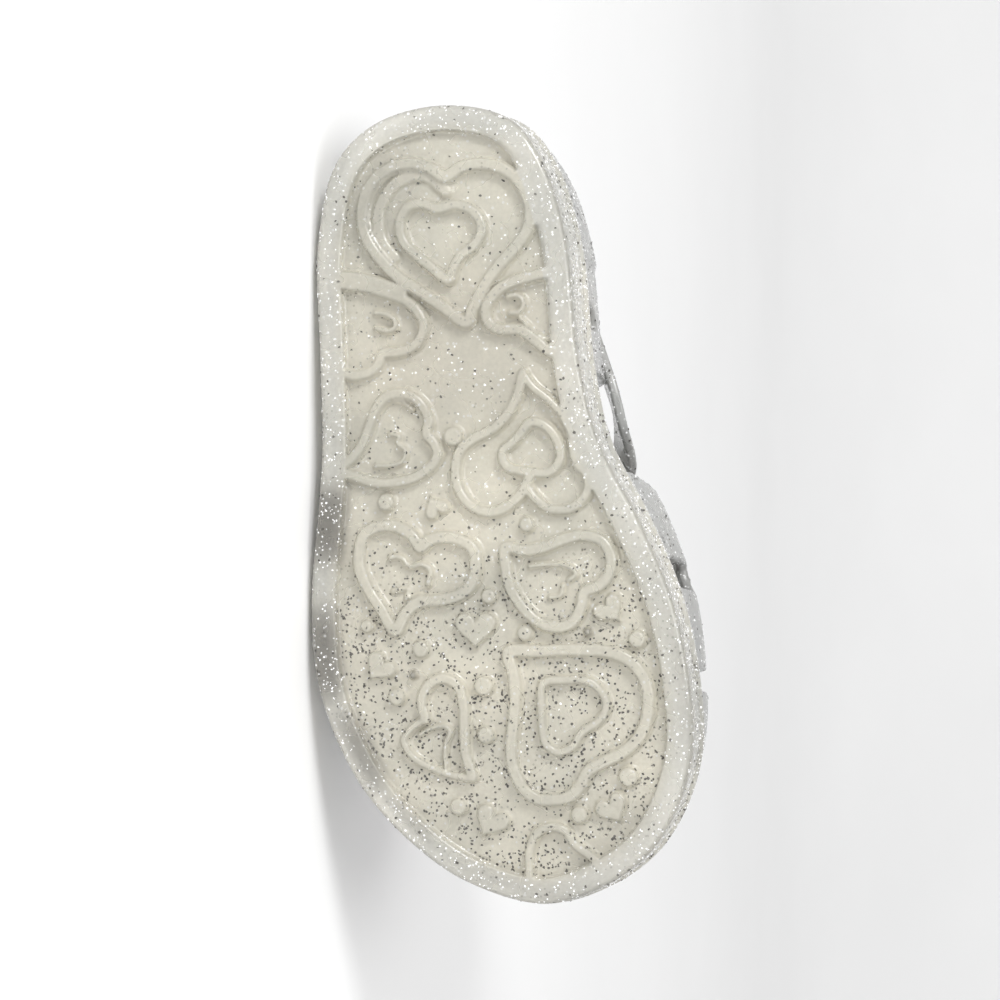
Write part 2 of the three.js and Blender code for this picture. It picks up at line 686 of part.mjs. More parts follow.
// What is cut out of the counter for the quarter-round window behind its front post.
// WINDOW_TAIL_SHARE: its height at its thin end, as a share of the whole.
const WINDOW_TAIL_SHARE = 0.1;
function counterWindow(side) {
  const { from, to, low, high } = COUNTER_WINDOW;
  const through = WALL / 2 + CUT_REACH;
  return shell(
    steps(WINDOW_STEPS).map((share) => {
      const s = walkTo(at(lerp(from, to, share)), side);
      const arc = lerp(WINDOW_TAIL_SHARE, 1, Math.sqrt(1 - (1 - share) ** 2));
      const top = lerp(low, high, arc) * COUNTER_HEIGHT;
      return [low * COUNTER_HEIGHT, top].map((up) => [onCounter(s, up, -through), onCounter(s, up, through)]);
    }),
  );
}

// The thicker panel round the back of the heel, a step in the counter's wall.
function heelPanel() {
  const { low, high, front, top } = HEEL_PANEL;
  const ends = [walkTo(at(front), "medial"), walkTo(at(front), "lateral")];
  return shell(
    steps(PANEL_STEPS).map((share) => {
      const s = lerp(ends[0], ends[1], share);
      const crown = lerp(high, top, 1 - (2 * share - 1) ** 2);
      return steps(2).map((step) => {
        const up = lerp(low, crown, step) * COUNTER_HEIGHT;
        return [onCounter(s, up, -WALL / 4), onCounter(s, up, WALL / 2 + HEEL_PANEL_STEP)];
      });
    }),
  );
}

function rand() {
  const outer = ring(RAND_SETBACK);
  const inner = ring(RAND_SETBACK + RAND_WALL);
  return loft(
    outer.map((p, i) => {
      const q = inner[i];
      const corner = (r, height) => new THREE.Vector3(r.x, r.y, featherZ(p.x) + height);
      return [corner(p, 0), corner(p, RAND_HEIGHT), corner(q, RAND_HEIGHT), corner(q, 0)];
    }),
    true,
  );
}

// A flat band through places, each { p, out }: the middle of the band and the way its outer face looks.
// taper: how many places at its end are narrower.
function band(places, width, thickness, taper = 0) {
  return loft(
    places.map(({ p, out }, i) => {
      const ahead = places[Math.min(i + 1, places.length - 1)].p;
      const behind = places[Math.max(i - 1, 0)].p;
      const along = ahead.clone().sub(behind).normalize();
      const side = along.clone().cross(out).normalize();
      const face = side.clone().cross(along).normalize();
      const narrowed = i >= places.length - taper ? TIP_SHARE : 1;
      const corner = (a, b) =>
        p
          .clone()
          .addScaledVector(side, (a * width * narrowed) / 2)
          .addScaledVector(face, (b * thickness) / 2);
      return [corner(-1, -1), corner(1, -1), corner(1, 1), corner(-1, 1)];
    }),
  );
}

// The ridge of the vamp, a distance above its middle surface.
const overRidge = (x, out) => onVamp(x, RIDGE_SIDE, out);

const strapLevel = STRAP_LEVEL_SHARE * COUNTER_HEIGHT;

// Buckle: its middle lies in the wall's own surface, off the lateral counter.
const lateralS = (x) => walkTo(x, "lateral");
const buckle = (() => {
  const rise = Math.sin(BUCKLE_TILT * TURN);
  const run = Math.cos(BUCKLE_TILT * TURN);
  const x = at(COUNTER_END) + GAP + (run * BUCKLE_LENGTH + rise * 2 * BUCKLE_HALF_WIDTH) / 2;
  const level = strapLevel + (rise * BUCKLE_LENGTH) / 2;
  const onWall = (along, out) => onCounter(lateralS(x - run * along), level - rise * along, out);
  const middlePoint = onWall(0, 0);
  const back = onWall(BUCKLE_LENGTH / 2, 0).sub(onWall(-BUCKLE_LENGTH / 2, 0)).normalize();
  const wide = onWall(0, 1).sub(middlePoint).cross(back).normalize();
  const out = back.clone().cross(wide).normalize();
  const place = (b, w, o) =>
    middlePoint.clone().addScaledVector(back, b).addScaledVector(wide, w).addScaledVector(out, o);
  const basis = new THREE.Matrix4().makeBasis(back, wide, out).setPosition(middlePoint);
  return { out, onWall, place, basis };
})();
const barAt = (BUCKLE_LENGTH - BAR_WIDTH) / 2;
const strapOverBar = KNUCKLE_RADIUS + GAP + STRAP_THICKNESS / 2;
const strapUnderBar = -(BAR_WIDTH / 2 + GAP + STRAP_THICKNESS / 2);

// The ankle strap: out of the medial counter, over the centre strap, through the buckle and back
// outside the counter.
// STRAP_CLIMB_SHARE: how far it has risen between the bars, as a share of its rise.
// STRAP_ROOT_SHARE, STRAP_FREE_SHARE: how far it stands off the counter's surface, in thicknesses of the
// wall, at the counter's front edge and a strap's width further on.
const STRAP_CLIMB_SHARE = 0.6;
const STRAP_ROOT_SHARE = 0.9;
const STRAP_FREE_SHARE = 1.3;
function strapPlaces() {
  const start = at(COUNTER_FRONT);
  const mark = (surface, u, v, out) => {
    const p = surface(u, v, out);
    return { p, out: surface(u, v, out + 1).sub(p) };
  };
  const medial = (x, out) => mark(onCounter, walkTo(x, "medial"), strapLevel, out);
  const vamp = ({ at: share, reach, off }) => mark(onVamp, at(share), reach, off * WALL);
  const underFold = WALL / 2 + GAP + STRAP_THICKNESS / 2;
  const inBuckle = (b, o) => ({ p: buckle.place(b, 0, o), out: buckle.out });
  const pastBuckle = (along, out) => ({ p: buckle.onWall(along, out), out: buckle.out });
  const overCounter = WALL / 2 + 2 * GAP + STRAP_THICKNESS / 2;
  const marks = [
    medial(start - STRAP_WIDTH, 0),
    medial(start, WALL * STRAP_ROOT_SHARE),
    medial(start + STRAP_WIDTH, WALL * STRAP_FREE_SHARE),
    ...OVER_FOOT.medial.map(vamp),
    mark(onVamp, at(STRAP_CROSSING_SHARE), RIDGE_SIDE, underFold),
    ...OVER_FOOT.lateral.map(vamp),
    inBuckle(-barAt - STRAP_WIDTH, strapUnderBar),
    inBuckle(-barAt - STRAP_WIDTH / 2, strapUnderBar),
    inBuckle(-barAt, strapUnderBar),
    inBuckle(-barAt + BAR_WIDTH, strapUnderBar),
    inBuckle(barAt / 4, strapOverBar * STRAP_CLIMB_SHARE),
    inBuckle(barAt, strapOverBar),
    inBuckle(barAt + STRAP_WIDTH / 2, strapOverBar),
    pastBuckle(barAt + STRAP_WIDTH, overCounter + GAP),
    pastBuckle(barAt + TIP_LENGTH, overCounter),
  ];
  const line = new THREE.CatmullRomCurve3(marks.map(({ p }) => p), false, "centripetal");
  const outs = new THREE.CatmullRomCurve3(marks.map(({ out }) => out), false, "centripetal");
  return steps(STRAP_STEPS).map((share) => ({ p: line.getPoint(share), out: outs.getPoint(share) }));
}

// The fold of the centre strap over the ankle strap.
// FOLD_CLEAR_SHARE: how far its middle is over the ankle strap, in its own thicknesses.
const FOLD_CLEAR_SHARE = 0.7;
function strapLoop() {
  const rise = WALL / 2 + 2 * GAP + STRAP_THICKNESS + LOOP_WALL * FOLD_CLEAR_SHARE;
  const reach = STRAP_WIDTH / 2 + 2 * LOOP_WALL;
  const x = at(STRAP_CROSSING_SHARE);
  const marks = FOLD.map(({ along, high }) => overRidge(x + along * reach, high * rise));
  const foot = overRidge(x, WALL / 2);
  const line = new THREE.CatmullRomCurve3(marks, false, "centripetal");
  return band(
    line.getPoints(FOLD_STEPS).map((p) => ({ p, out: p.clone().sub(foot).setY(0) })),
    LOOP_WIDTH,
    LOOP_WALL,
  );
}

// A rod round the buckle's rear bar.
function rod(radius, length) {
  const geometry = new THREE.CylinderGeometry(radius, radius, length, ROD_SIDES);
  geometry.translate(barAt, 0, 0);
  geometry.applyMatrix4(buckle.basis);
  return solidOf(geometry);
}

// What the bar turns in: the hole of the knuckle and of the prong's eye.
const barHole = () => rod((BAR_WIDTH / 2) * Math.SQRT2 + GAP, STRAP_WIDTH + 2 * STRAP_SIDE_PLAY);

// The prong, from its eye on the rear bar to the front bar. grow: how much bigger on each side.
// Its eye is half a gap smaller than the knuckle, so that what is cut out for it is wider than the knuckle.
function prong(grow) {
  const width = PRONG_WIDTH + 2 * grow;
  const eye = rod(KNUCKLE_RADIUS - GAP / 2 + grow, width);
  const lies = BAR_WIDTH / 2 + GAP + PRONG_THICKNESS / 2;
  const arm = [
    buckle.place(barAt, 0, 0),
    buckle.place(barAt - KNUCKLE_RADIUS, 0, GAP),
    buckle.place(-barAt / 2, 0, lies),
    buckle.place(-barAt - PRONG_TIP - grow, 0, lies),
  ].map((p) => ({ p, out: buckle.out }));
  return eye.add(band(arm, width, PRONG_THICKNESS + 2 * grow));
}

function buckleProng() {
  return prong(0).subtract(barHole());
}

// Radius of the outer corners, in thicknesses of the bar, and of the knot's wall for the knot.
const CORNER_SHARE = 1.2;

function buckleFrame() {
  const outline = roundedRectangle(BUCKLE_LENGTH, 2 * BUCKLE_HALF_WIDTH, BAR_WIDTH * CORNER_SHARE);
  const inner = 2 * (BUCKLE_HALF_WIDTH - BAR_WIDTH);
  const hole = roundedRectangle(BUCKLE_LENGTH - 2 * BAR_WIDTH, inner, BAR_WIDTH / 2);
  outline.holes.push(hole);
  const ringShape = extruded(outline, BAR_WIDTH);
  ringShape.applyMatrix4(buckle.basis);
  return solidOf(ringShape);
}

function roundedRectangle(long, wide, radius) {
  const x = long / 2 - radius;
  const y = wide / 2 - radius;
  const shape = new THREE.Shape();
  shape.absarc(x, y, radius, 0, Math.PI / 2);
  shape.absarc(-x, y, radius, Math.PI / 2, Math.PI);
  shape.absarc(-x, -y, radius, Math.PI, Math.PI * 1.5);
  shape.absarc(x, -y, radius, Math.PI * 1.5, Math.PI * 2);
  return shape;
}

// The tab's thickness, as a share of the wall.
const TAB_SHARE = 0.9;

function upper() {
  const strap = band(strapPlaces(), STRAP_WIDTH, STRAP_THICKNESS, 2);
  const knuckle = rod(KNUCKLE_RADIUS, STRAP_WIDTH);
  const tab = band(
    steps(4).map((share) => ({ p: buckle.onWall(barAt + share * TAB_LENGTH, 0), out: buckle.out })),
    STRAP_WIDTH,
    WALL * TAB_SHARE,
  );
  return wasm.Manifold.union([rand(), vamp(), counter(), heelPanel(), strap, knuckle, tab, strapLoop()])
    .subtract(barHole())
    .subtract(prong(GAP));
}

// Bow

const bowFoot = WALL / 2 + GAP;
const bowBase = bowFoot + KNOT_WALL + GAP + BOW_RIBBON / 2;
const LOOP_STEPS = 6;
const BOW_TURN = 0.06;

// Powers that round the bow: its loops' height, its ends, how they lift and how the ribbon flares.
const BOW_ROUND = { loop: 0.8, end: 0.3, lift: 4, flare: 0.7 };

// Both loops are one ribbon: out along its lower strand, round the end and back along the upper one.
function bowLoops() {
  const waist = (KNOT_WIDTH / 2 + GAP) / (BOW_SPAN / 2);
  const quarter = steps(LOOP_STEPS).map((step) => Math.acos(lerp(waist, 1, Math.sin((Math.PI * step) / 2))));
  const back = quarter.toReversed();
  const half = [...back, ...quarter.map((phi) => Math.PI - phi)];
  const turns = [...half, ...half.slice(1, -1).map((phi) => phi + Math.PI)];
  const strand = (phi, aside) => {
    const out = Math.max(0, Math.abs(Math.cos(phi)) - waist) / (1 - waist);
    const loop = Math.sin(phi) > 0 ? BOW_LOOP_HEIGHT * Math.sin(Math.PI * out) ** BOW_ROUND.loop : 0;
    const above = Math.max(0, Math.sin(phi)) ** BOW_ROUND.end * (BOW_RIBBON + GAP) + loop;
    const reach = bowReach((BOW_SPAN / 2) * Math.cos(phi));
    return onVamp(at(BOW_PLACE_SHARE) + aside, reach, bowBase + BOW_END_LIFT * out ** BOW_ROUND.lift + above);
  };
  return loft(
    turns.map((phi) => {
      const out = Math.max(0, Math.abs(Math.cos(phi)) - waist);
      const wide = lerp(BOW_WAIST, BOW_WIDTH, out ** BOW_ROUND.flare) / 2;
      const ahead = strand(phi + BOW_TURN, 0).sub(strand(phi - BOW_TURN, 0));
      const sideways = strand(phi, 1).sub(strand(phi, -1)).normalize();
      const face = ahead.cross(sideways).normalize().multiplyScalar(BOW_RIBBON / 2);
      return [[-wide, -1], [wide, -1], [wide, 1], [-wide, 1]].map(([aside, sign]) =>
        strand(phi, aside).addScaledVector(face, sign),
      );
    }),
    true,
  );
}

// The reach of a place on the vamp at a distance from its ridge.
function bowReach(y) {
  const half = (feather.lateral(at(BOW_PLACE_SHARE)) - feather.medial(at(BOW_PLACE_SHARE))) / 2;
  const share = Math.min(1, Math.abs(y) / half) ** (SECTION_FULLNESS / 2);
  return (Math.sign(y) * Math.asin(share) * 2) / Math.PI;
}

function bowKnot() {
  const high = 2 * BOW_RIBBON + 4 * GAP;
  const long = BOW_WAIST + 3 * GAP;
  const outline = roundedRectangle(long + 2 * KNOT_WALL, high + 2 * KNOT_WALL, KNOT_WALL * CORNER_SHARE);
  outline.holes.push(roundedRectangle(long, high, GAP));
  const knot = extruded(outline, KNOT_WIDTH);
  const x = at(BOW_PLACE_SHARE);
  const centre = overRidge(x, bowFoot + KNOT_WALL + high / 2);
  const out = overRidge(x, 1).sub(overRidge(x, 0)).normalize();
  const sideways = new THREE.Vector3(0, 1, 0).cross(out).normalize().cross(out).normalize();
  const along = out.clone().cross(sideways).normalize();
  knot.applyMatrix4(new THREE.Matrix4().makeBasis(along, out, sideways).setPosition(centre));
  return solidOf(knot);
}

// A mesh from a solid, for the scene.
function meshOf(name, made, look) {
  const { vertProperties, triVerts, numProp } = made.getMesh();
  const corners = new Float32Array((vertProperties.length / numProp) * 3);
  for (let i = 0; i < corners.length / 3; i++)
    corners.set(vertProperties.subarray(i * numProp, i * numProp + 3), 3 * i);
  const geometry = new THREE.BufferGeometry();
  geometry.setAttribute("position", new THREE.BufferAttribute(corners, 3));
  geometry.setIndex(new THREE.BufferAttribute(new Uint32Array(triVerts), 1));
  geometry.computeVertexNormals();
  const mesh = new THREE.Mesh(geometry, new THREE.MeshStandardMaterial(look));
  mesh.name = name;
  return mesh;
}

const LEVEL = 1e-4;

// How a set of corners leans over a level axis through a pivot, until one on the goal's side comes down.
function leanOver(corners, pivot, axis, goal) {
  const across = new THREE.Vector3(0, 0, 1).cross(axis);
  const sense = Math.sign(goal.clone().sub(pivot).dot(across));
  const angles = corners
    .map((p) => p.clone().sub(pivot))
    .filter((p) => p.dot(across) * sense > LEVEL)
    .map((p) => Math.atan2(p.z, p.dot(across) * sense));
  return new THREE.Quaternion().setFromAxisAngle(axis, -sense * Math.min(...angles));
}

// The centre of mass of all the pieces.
function centreOfMass(meshes) {
  const sum = new THREE.Vector3();
  let mass = 0;
  for (const { geometry, material } of meshes) {
    const position = geometry.getAttribute("position");
    const index = geometry.index.array;
    const corner = (i) => new THREE.Vector3().fromBufferAttribute(position, index[i]);
    for (let i = 0; i < index.length; i += 3) {
      const [a, b, c] = [corner(i), corner(i + 1), corner(i + 2)];
      const density = material.metalness ? STEEL_DENSITY : PLASTIC_DENSITY;
      const part = (a.dot(b.clone().cross(c)) / 6) * density;
      sum.addScaledVector(a.add(b).add(c), part / 4);
      mass += part;
    }
  }
  return sum.divideScalar(mass);
}

// How the shoe lies: on its lateral side, on two places of the sole's edge and one of the upper.
function lyingDown(meshes) {
  const turned = new THREE.Quaternion().setFromAxisAngle(new THREE.Vector3(1, 0, 0), -Math.PI / 2);
  const corners = meshes.flatMap((mesh) => {
    const position = mesh.geometry.getAttribute("position");
    const corner = (i) => new THREE.Vector3().fromBufferAttribute(position, i);
    return Array.from({ length: position.count }, (_, i) => corner(i));
  });
  const centre = centreOfMass(meshes).applyQuaternion(turned);
  for (const p of corners) p.applyQuaternion(turned);
  const lower = (p, low) => (Math.abs(p.z - low.z) < LEVEL ? p.y > low.y : p.z < low.z);
  const lowest = () => corners.reduce((low, p) => (lower(p, low) ? p : low));
  const lean = (pivot, axis) => {
    const turn = leanOver(corners, pivot, axis, centre);
    for (const p of [...corners, centre]) p.applyQuaternion(turn);
    turned.premultiply(turn);
  };
  const first = lowest();
  lean(first, new THREE.Vector3(0, 1, 0));
  const level = corners.filter((p) => Math.abs(p.z - first.z) < LEVEL && p !== first);
  const second = level.reduce((far, p) => (p.distanceTo(first) > far.distanceTo(first) ? p : far));
  lean(first, second.clone().sub(first).setZ(0).normalize());
  const { min, max } = new THREE.Box3().setFromPoints(corners);
  return { turned, moved: new THREE.Vector3(-(min.x + max.x) / 2, -(min.y + max.y) / 2, -min.z) };
}

const meshes = [
  meshOf("outsole", outsole(), CLEAR),
  meshOf("insole", insole(), INNER),
  meshOf("upper", upper(), CLEAR),
  meshOf("buckle_frame", buckleFrame(), STEEL),
  meshOf("buckle_prong", buckleProng(), STEEL),
  meshOf("bow_loops", bowLoops(), PINK),
  meshOf("bow_knot", bowKnot(), PINK),
];
const shoe = new THREE.Group();
const { turned, moved } = lyingDown(meshes);
shoe.quaternion.copy(turned);
shoe.position.copy(moved);
shoe.add(...meshes);

export default shoe;
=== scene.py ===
"""Looks of a child's jelly sandal, left foot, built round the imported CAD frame.

The shoe is worked out standing, in millimetres: x from heel to toe, y to the lateral side, z up from the ground.
to_row() lays it down as the frame has it, in metres.
"""
from math import cos, pi, radians, sin

import bmesh
import bpy
import numpy as np
from mathutils import Matrix, Quaternion, Vector


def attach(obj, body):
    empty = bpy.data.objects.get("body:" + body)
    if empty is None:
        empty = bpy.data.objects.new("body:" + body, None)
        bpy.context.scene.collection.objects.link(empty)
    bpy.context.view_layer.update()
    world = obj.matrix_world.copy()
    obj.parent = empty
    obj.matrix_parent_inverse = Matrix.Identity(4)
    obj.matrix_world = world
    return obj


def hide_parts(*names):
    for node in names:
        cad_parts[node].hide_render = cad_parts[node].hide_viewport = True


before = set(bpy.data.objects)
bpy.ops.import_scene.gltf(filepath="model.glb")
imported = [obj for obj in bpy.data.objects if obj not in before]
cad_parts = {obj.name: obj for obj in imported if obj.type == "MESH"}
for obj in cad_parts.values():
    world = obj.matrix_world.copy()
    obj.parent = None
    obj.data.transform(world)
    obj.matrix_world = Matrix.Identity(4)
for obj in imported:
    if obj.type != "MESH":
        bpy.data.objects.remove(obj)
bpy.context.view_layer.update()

MM = 0.001

# How the shoe lies, as the frame has it: turned, then moved by millimetres.
LAID = Quaternion((0.7002916113, -0.7138318313, -0.0042732231, -0.0041851388))
MOVED = (-69.98572, -31.42330, 30.86939)

# Camera. The aim is a place under the sole; the tilt is off the sole's normal, towards the medial side.
AIM = (70.0, -1.5, 0.0)
DISTANCE = 380.0
TILT = 15.2
ROLL = 0.8
SENSOR = 36.0
PICTURE = 1000
FOCAL_PX = 2188.0
SHIFT_PX = (12.0, 4.0)

# Where the aim falls in the photograph, for places that were charted there.
AIM_PX = (267.3, 504.5)

# Sizes, as in the frame
LENGTH = 140
BALL_WIDTH = 66.6
HEEL_THICKNESS = 12.5
BALL_THICKNESS = 9
TOE_SPRING = 4.6
HEEL_SPRING = 0.8
ARCH_LIFT = 0.8
RIM_WIDTH = 4.8
TREAD_DEPTH = 1.9
EDGE_ROUND = 1.1
WELT_OUT = 0.8
WELT_HEIGHT = 2.2
WELT_GROOVE = 0.5
INSOLE_THICKNESS = 1.6
INSOLE_BEVEL = 0.6
WALL = 2
RAND_WALL = 2.8
RAND_HEIGHT = 3.6
RAND_SETBACK = 0.2
INSTEP_HEIGHT = 48
TOE_DOME = 0.1643 * LENGTH
SECTION_FULLNESS = 2.5
HALF_GIRTH = 50
MEDIAL_SWELL = 3.2
SWELL_SHARE = 0.62
COUNTER_HEIGHT = 35
COUNTER_LEAN = 5
COUNTER_BULGE = 0.5
HEEL_CENTRE = 0.1857 * LENGTH
HEEL_PANEL_STEP = 0.6
STRAP_WIDTH = 8
STRAP_THICKNESS = 1.8
STRAP_LEVEL = 0.7714 * COUNTER_HEIGHT
STRAP_CROSSING = 0.47
STRAP_SIDE_PLAY = 0.8
STRAP_ROOT = 0.9
STRAP_FREE = 1.3
LOOP_WIDTH = 7
LOOP_WALL = 1.5
BAR = 1.6
BUCKLE_LENGTH = 11
BUCKLE_TILT = 26
PRONG_WIDTH = 1.4
PRONG_THICKNESS = 1.1
PRONG_TIP = 1.2
KNUCKLE_RADIUS = 2.4
TAB_LENGTH = 10
TIP_LENGTH = 14
BOW_AT = 0.6786 * LENGTH
BOW_SPAN = 47
BOW_WIDTH = 15
BOW_WAIST = 8
BOW_RIBBON = 1.5
BOW_LOOP_HEIGHT = 5.5
BOW_END_LIFT = 2
KNOT_WIDTH = 7.5
KNOT_WALL = 1.4
GAP = 0.3
BUCKLE_HALF_WIDTH = STRAP_WIDTH / 2 + STRAP_SIDE_PLAY + BAR

# Tables, as in the frame. at: share of the length.
# lateral, medial: shares of the ball width, from the long axis.
HEEL_TIP = 0.112
TOE_TIP = -0.155
OUTLINE = [
    dict(at=0.02, lateral=0.293, medial=-0.069),
    dict(at=0.07, lateral=0.401, medial=-0.156),
    dict(at=0.17, lateral=0.45, medial=-0.224),
    dict(at=0.32, lateral=0.443, medial=-0.259),
    dict(at=0.42, lateral=0.44, medial=-0.309),
    dict(at=0.52, lateral=0.45, medial=-0.42),
    dict(at=0.62, lateral=0.465, medial=-0.508),
    dict(at=0.72, lateral=0.45, medial=-0.552),
    dict(at=0.8, lateral=0.397, medial=-0.558),
    dict(at=0.87, lateral=0.314, medial=-0.518),
    dict(at=0.93, lateral=0.196, medial=-0.44),
    dict(at=0.975, lateral=0.055, medial=-0.315),
]
SIDE = [
    dict(at=0, heel_spring=1, arch=0, toe_spring=0, heel=1),
    dict(at=0.06, heel_spring=0, arch=0, toe_spring=0, heel=1),
    dict(at=0.32, heel_spring=0, arch=0, toe_spring=0, heel=0.9),
    dict(at=0.44, heel_spring=0, arch=1, toe_spring=0, heel=0.5),
    dict(at=0.56, heel_spring=0, arch=0, toe_spring=0, heel=0.15),
    dict(at=0.7, heel_spring=0, arch=0, toe_spring=0, heel=0),
    dict(at=0.85, heel_spring=0, arch=0, toe_spring=0.3, heel=-0.05),
    dict(at=1, heel_spring=0, arch=0, toe_spring=1, heel=-0.2),
]
RIDGE = [
    dict(at=0.38, height=1.04, swell=0.5),
    dict(at=0.46, height=0.97, swell=0.9),
    dict(at=0.54, height=0.85, swell=1),
    dict(at=0.62, height=0.71, swell=1),
    dict(at=0.7, height=0.6, swell=0.85),
    dict(at=0.8, height=0.52, swell=0.55),
    dict(at=0.9, height=0.47, swell=0.15),
    dict(at=1, height=0.44, swell=0),
]
WINDOWS = [
    dict(at=0.592, reach=0.82, long=0.26, wide=0.036, slant=8),
    dict(at=0.63, reach=0.42, long=0.34, wide=0.032, slant=14),
    dict(at=0.733, reach=0.6, long=0.68, wide=0.026, slant=6),
    dict(at=0.853, reach=0.55, long=0.5, wide=0.036, slant=-4),
    dict(at=0.95, reach=0.5, long=0.3, wide=0.028, slant=-14),
]
VAMP_EDGE = [
    dict(reach=0, at=0.415),
    dict(reach=0.11, at=0.415),
    dict(reach=0.125, at=0.55),
    dict(reach=0.19, at=0.575),
    dict(reach=0.3, at=0.568),
    dict(reach=0.5, at=0.528),
    dict(reach=0.7, at=0.488),
    dict(reach=0.88, at=0.462),
    dict(reach=0.985, at=0.455),
]
COUNTER_FRONT = 0.327
COUNTER_END = 0.339
COUNTER_SECTIONS = [
    dict(at=0, low=0.04, high=1.09),
    dict(at=0.02, low=0.04, high=1.08),
    dict(at=0.04, low=0.04, high=1.07),
    dict(at=0.085, low=0.04, high=1.045),
    dict(at=0.135, low=0.04, high=1.02),
    dict(at=0.185, low=0.04, high=1),
    dict(at=0.235, low=0.04, high=0.985),
    dict(at=0.268, low=0.04, high=0.975),
    dict(at=0.3, low=0.04, high=0.965),
    dict(at=COUNTER_FRONT, low=0.04, high=0.955),
    dict(at=COUNTER_END, low=0.66, high=0.945),
]
COUNTER_WINDOW = dict(start=0.24, end=0.272, low=0.115, high=0.36)
HEEL_PANEL = dict(front=0.183, low=0.06, high=0.74, top=0.84)
OVER_FOOT_MEDIAL = [dict(at=0.44, reach=-0.52, off=0.6), dict(at=0.462, reach=-0.26, off=1)]
OVER_FOOT_LATERAL = [dict(at=0.462, reach=0.26, off=1), dict(at=0.458, reach=0.42, off=0.5)]
FOLD = [(-1, 0), (-0.88, 0.55), (-0.5, 1), (0, 1.04), (0.5, 1), (0.88, 0.55), (1, 0)]
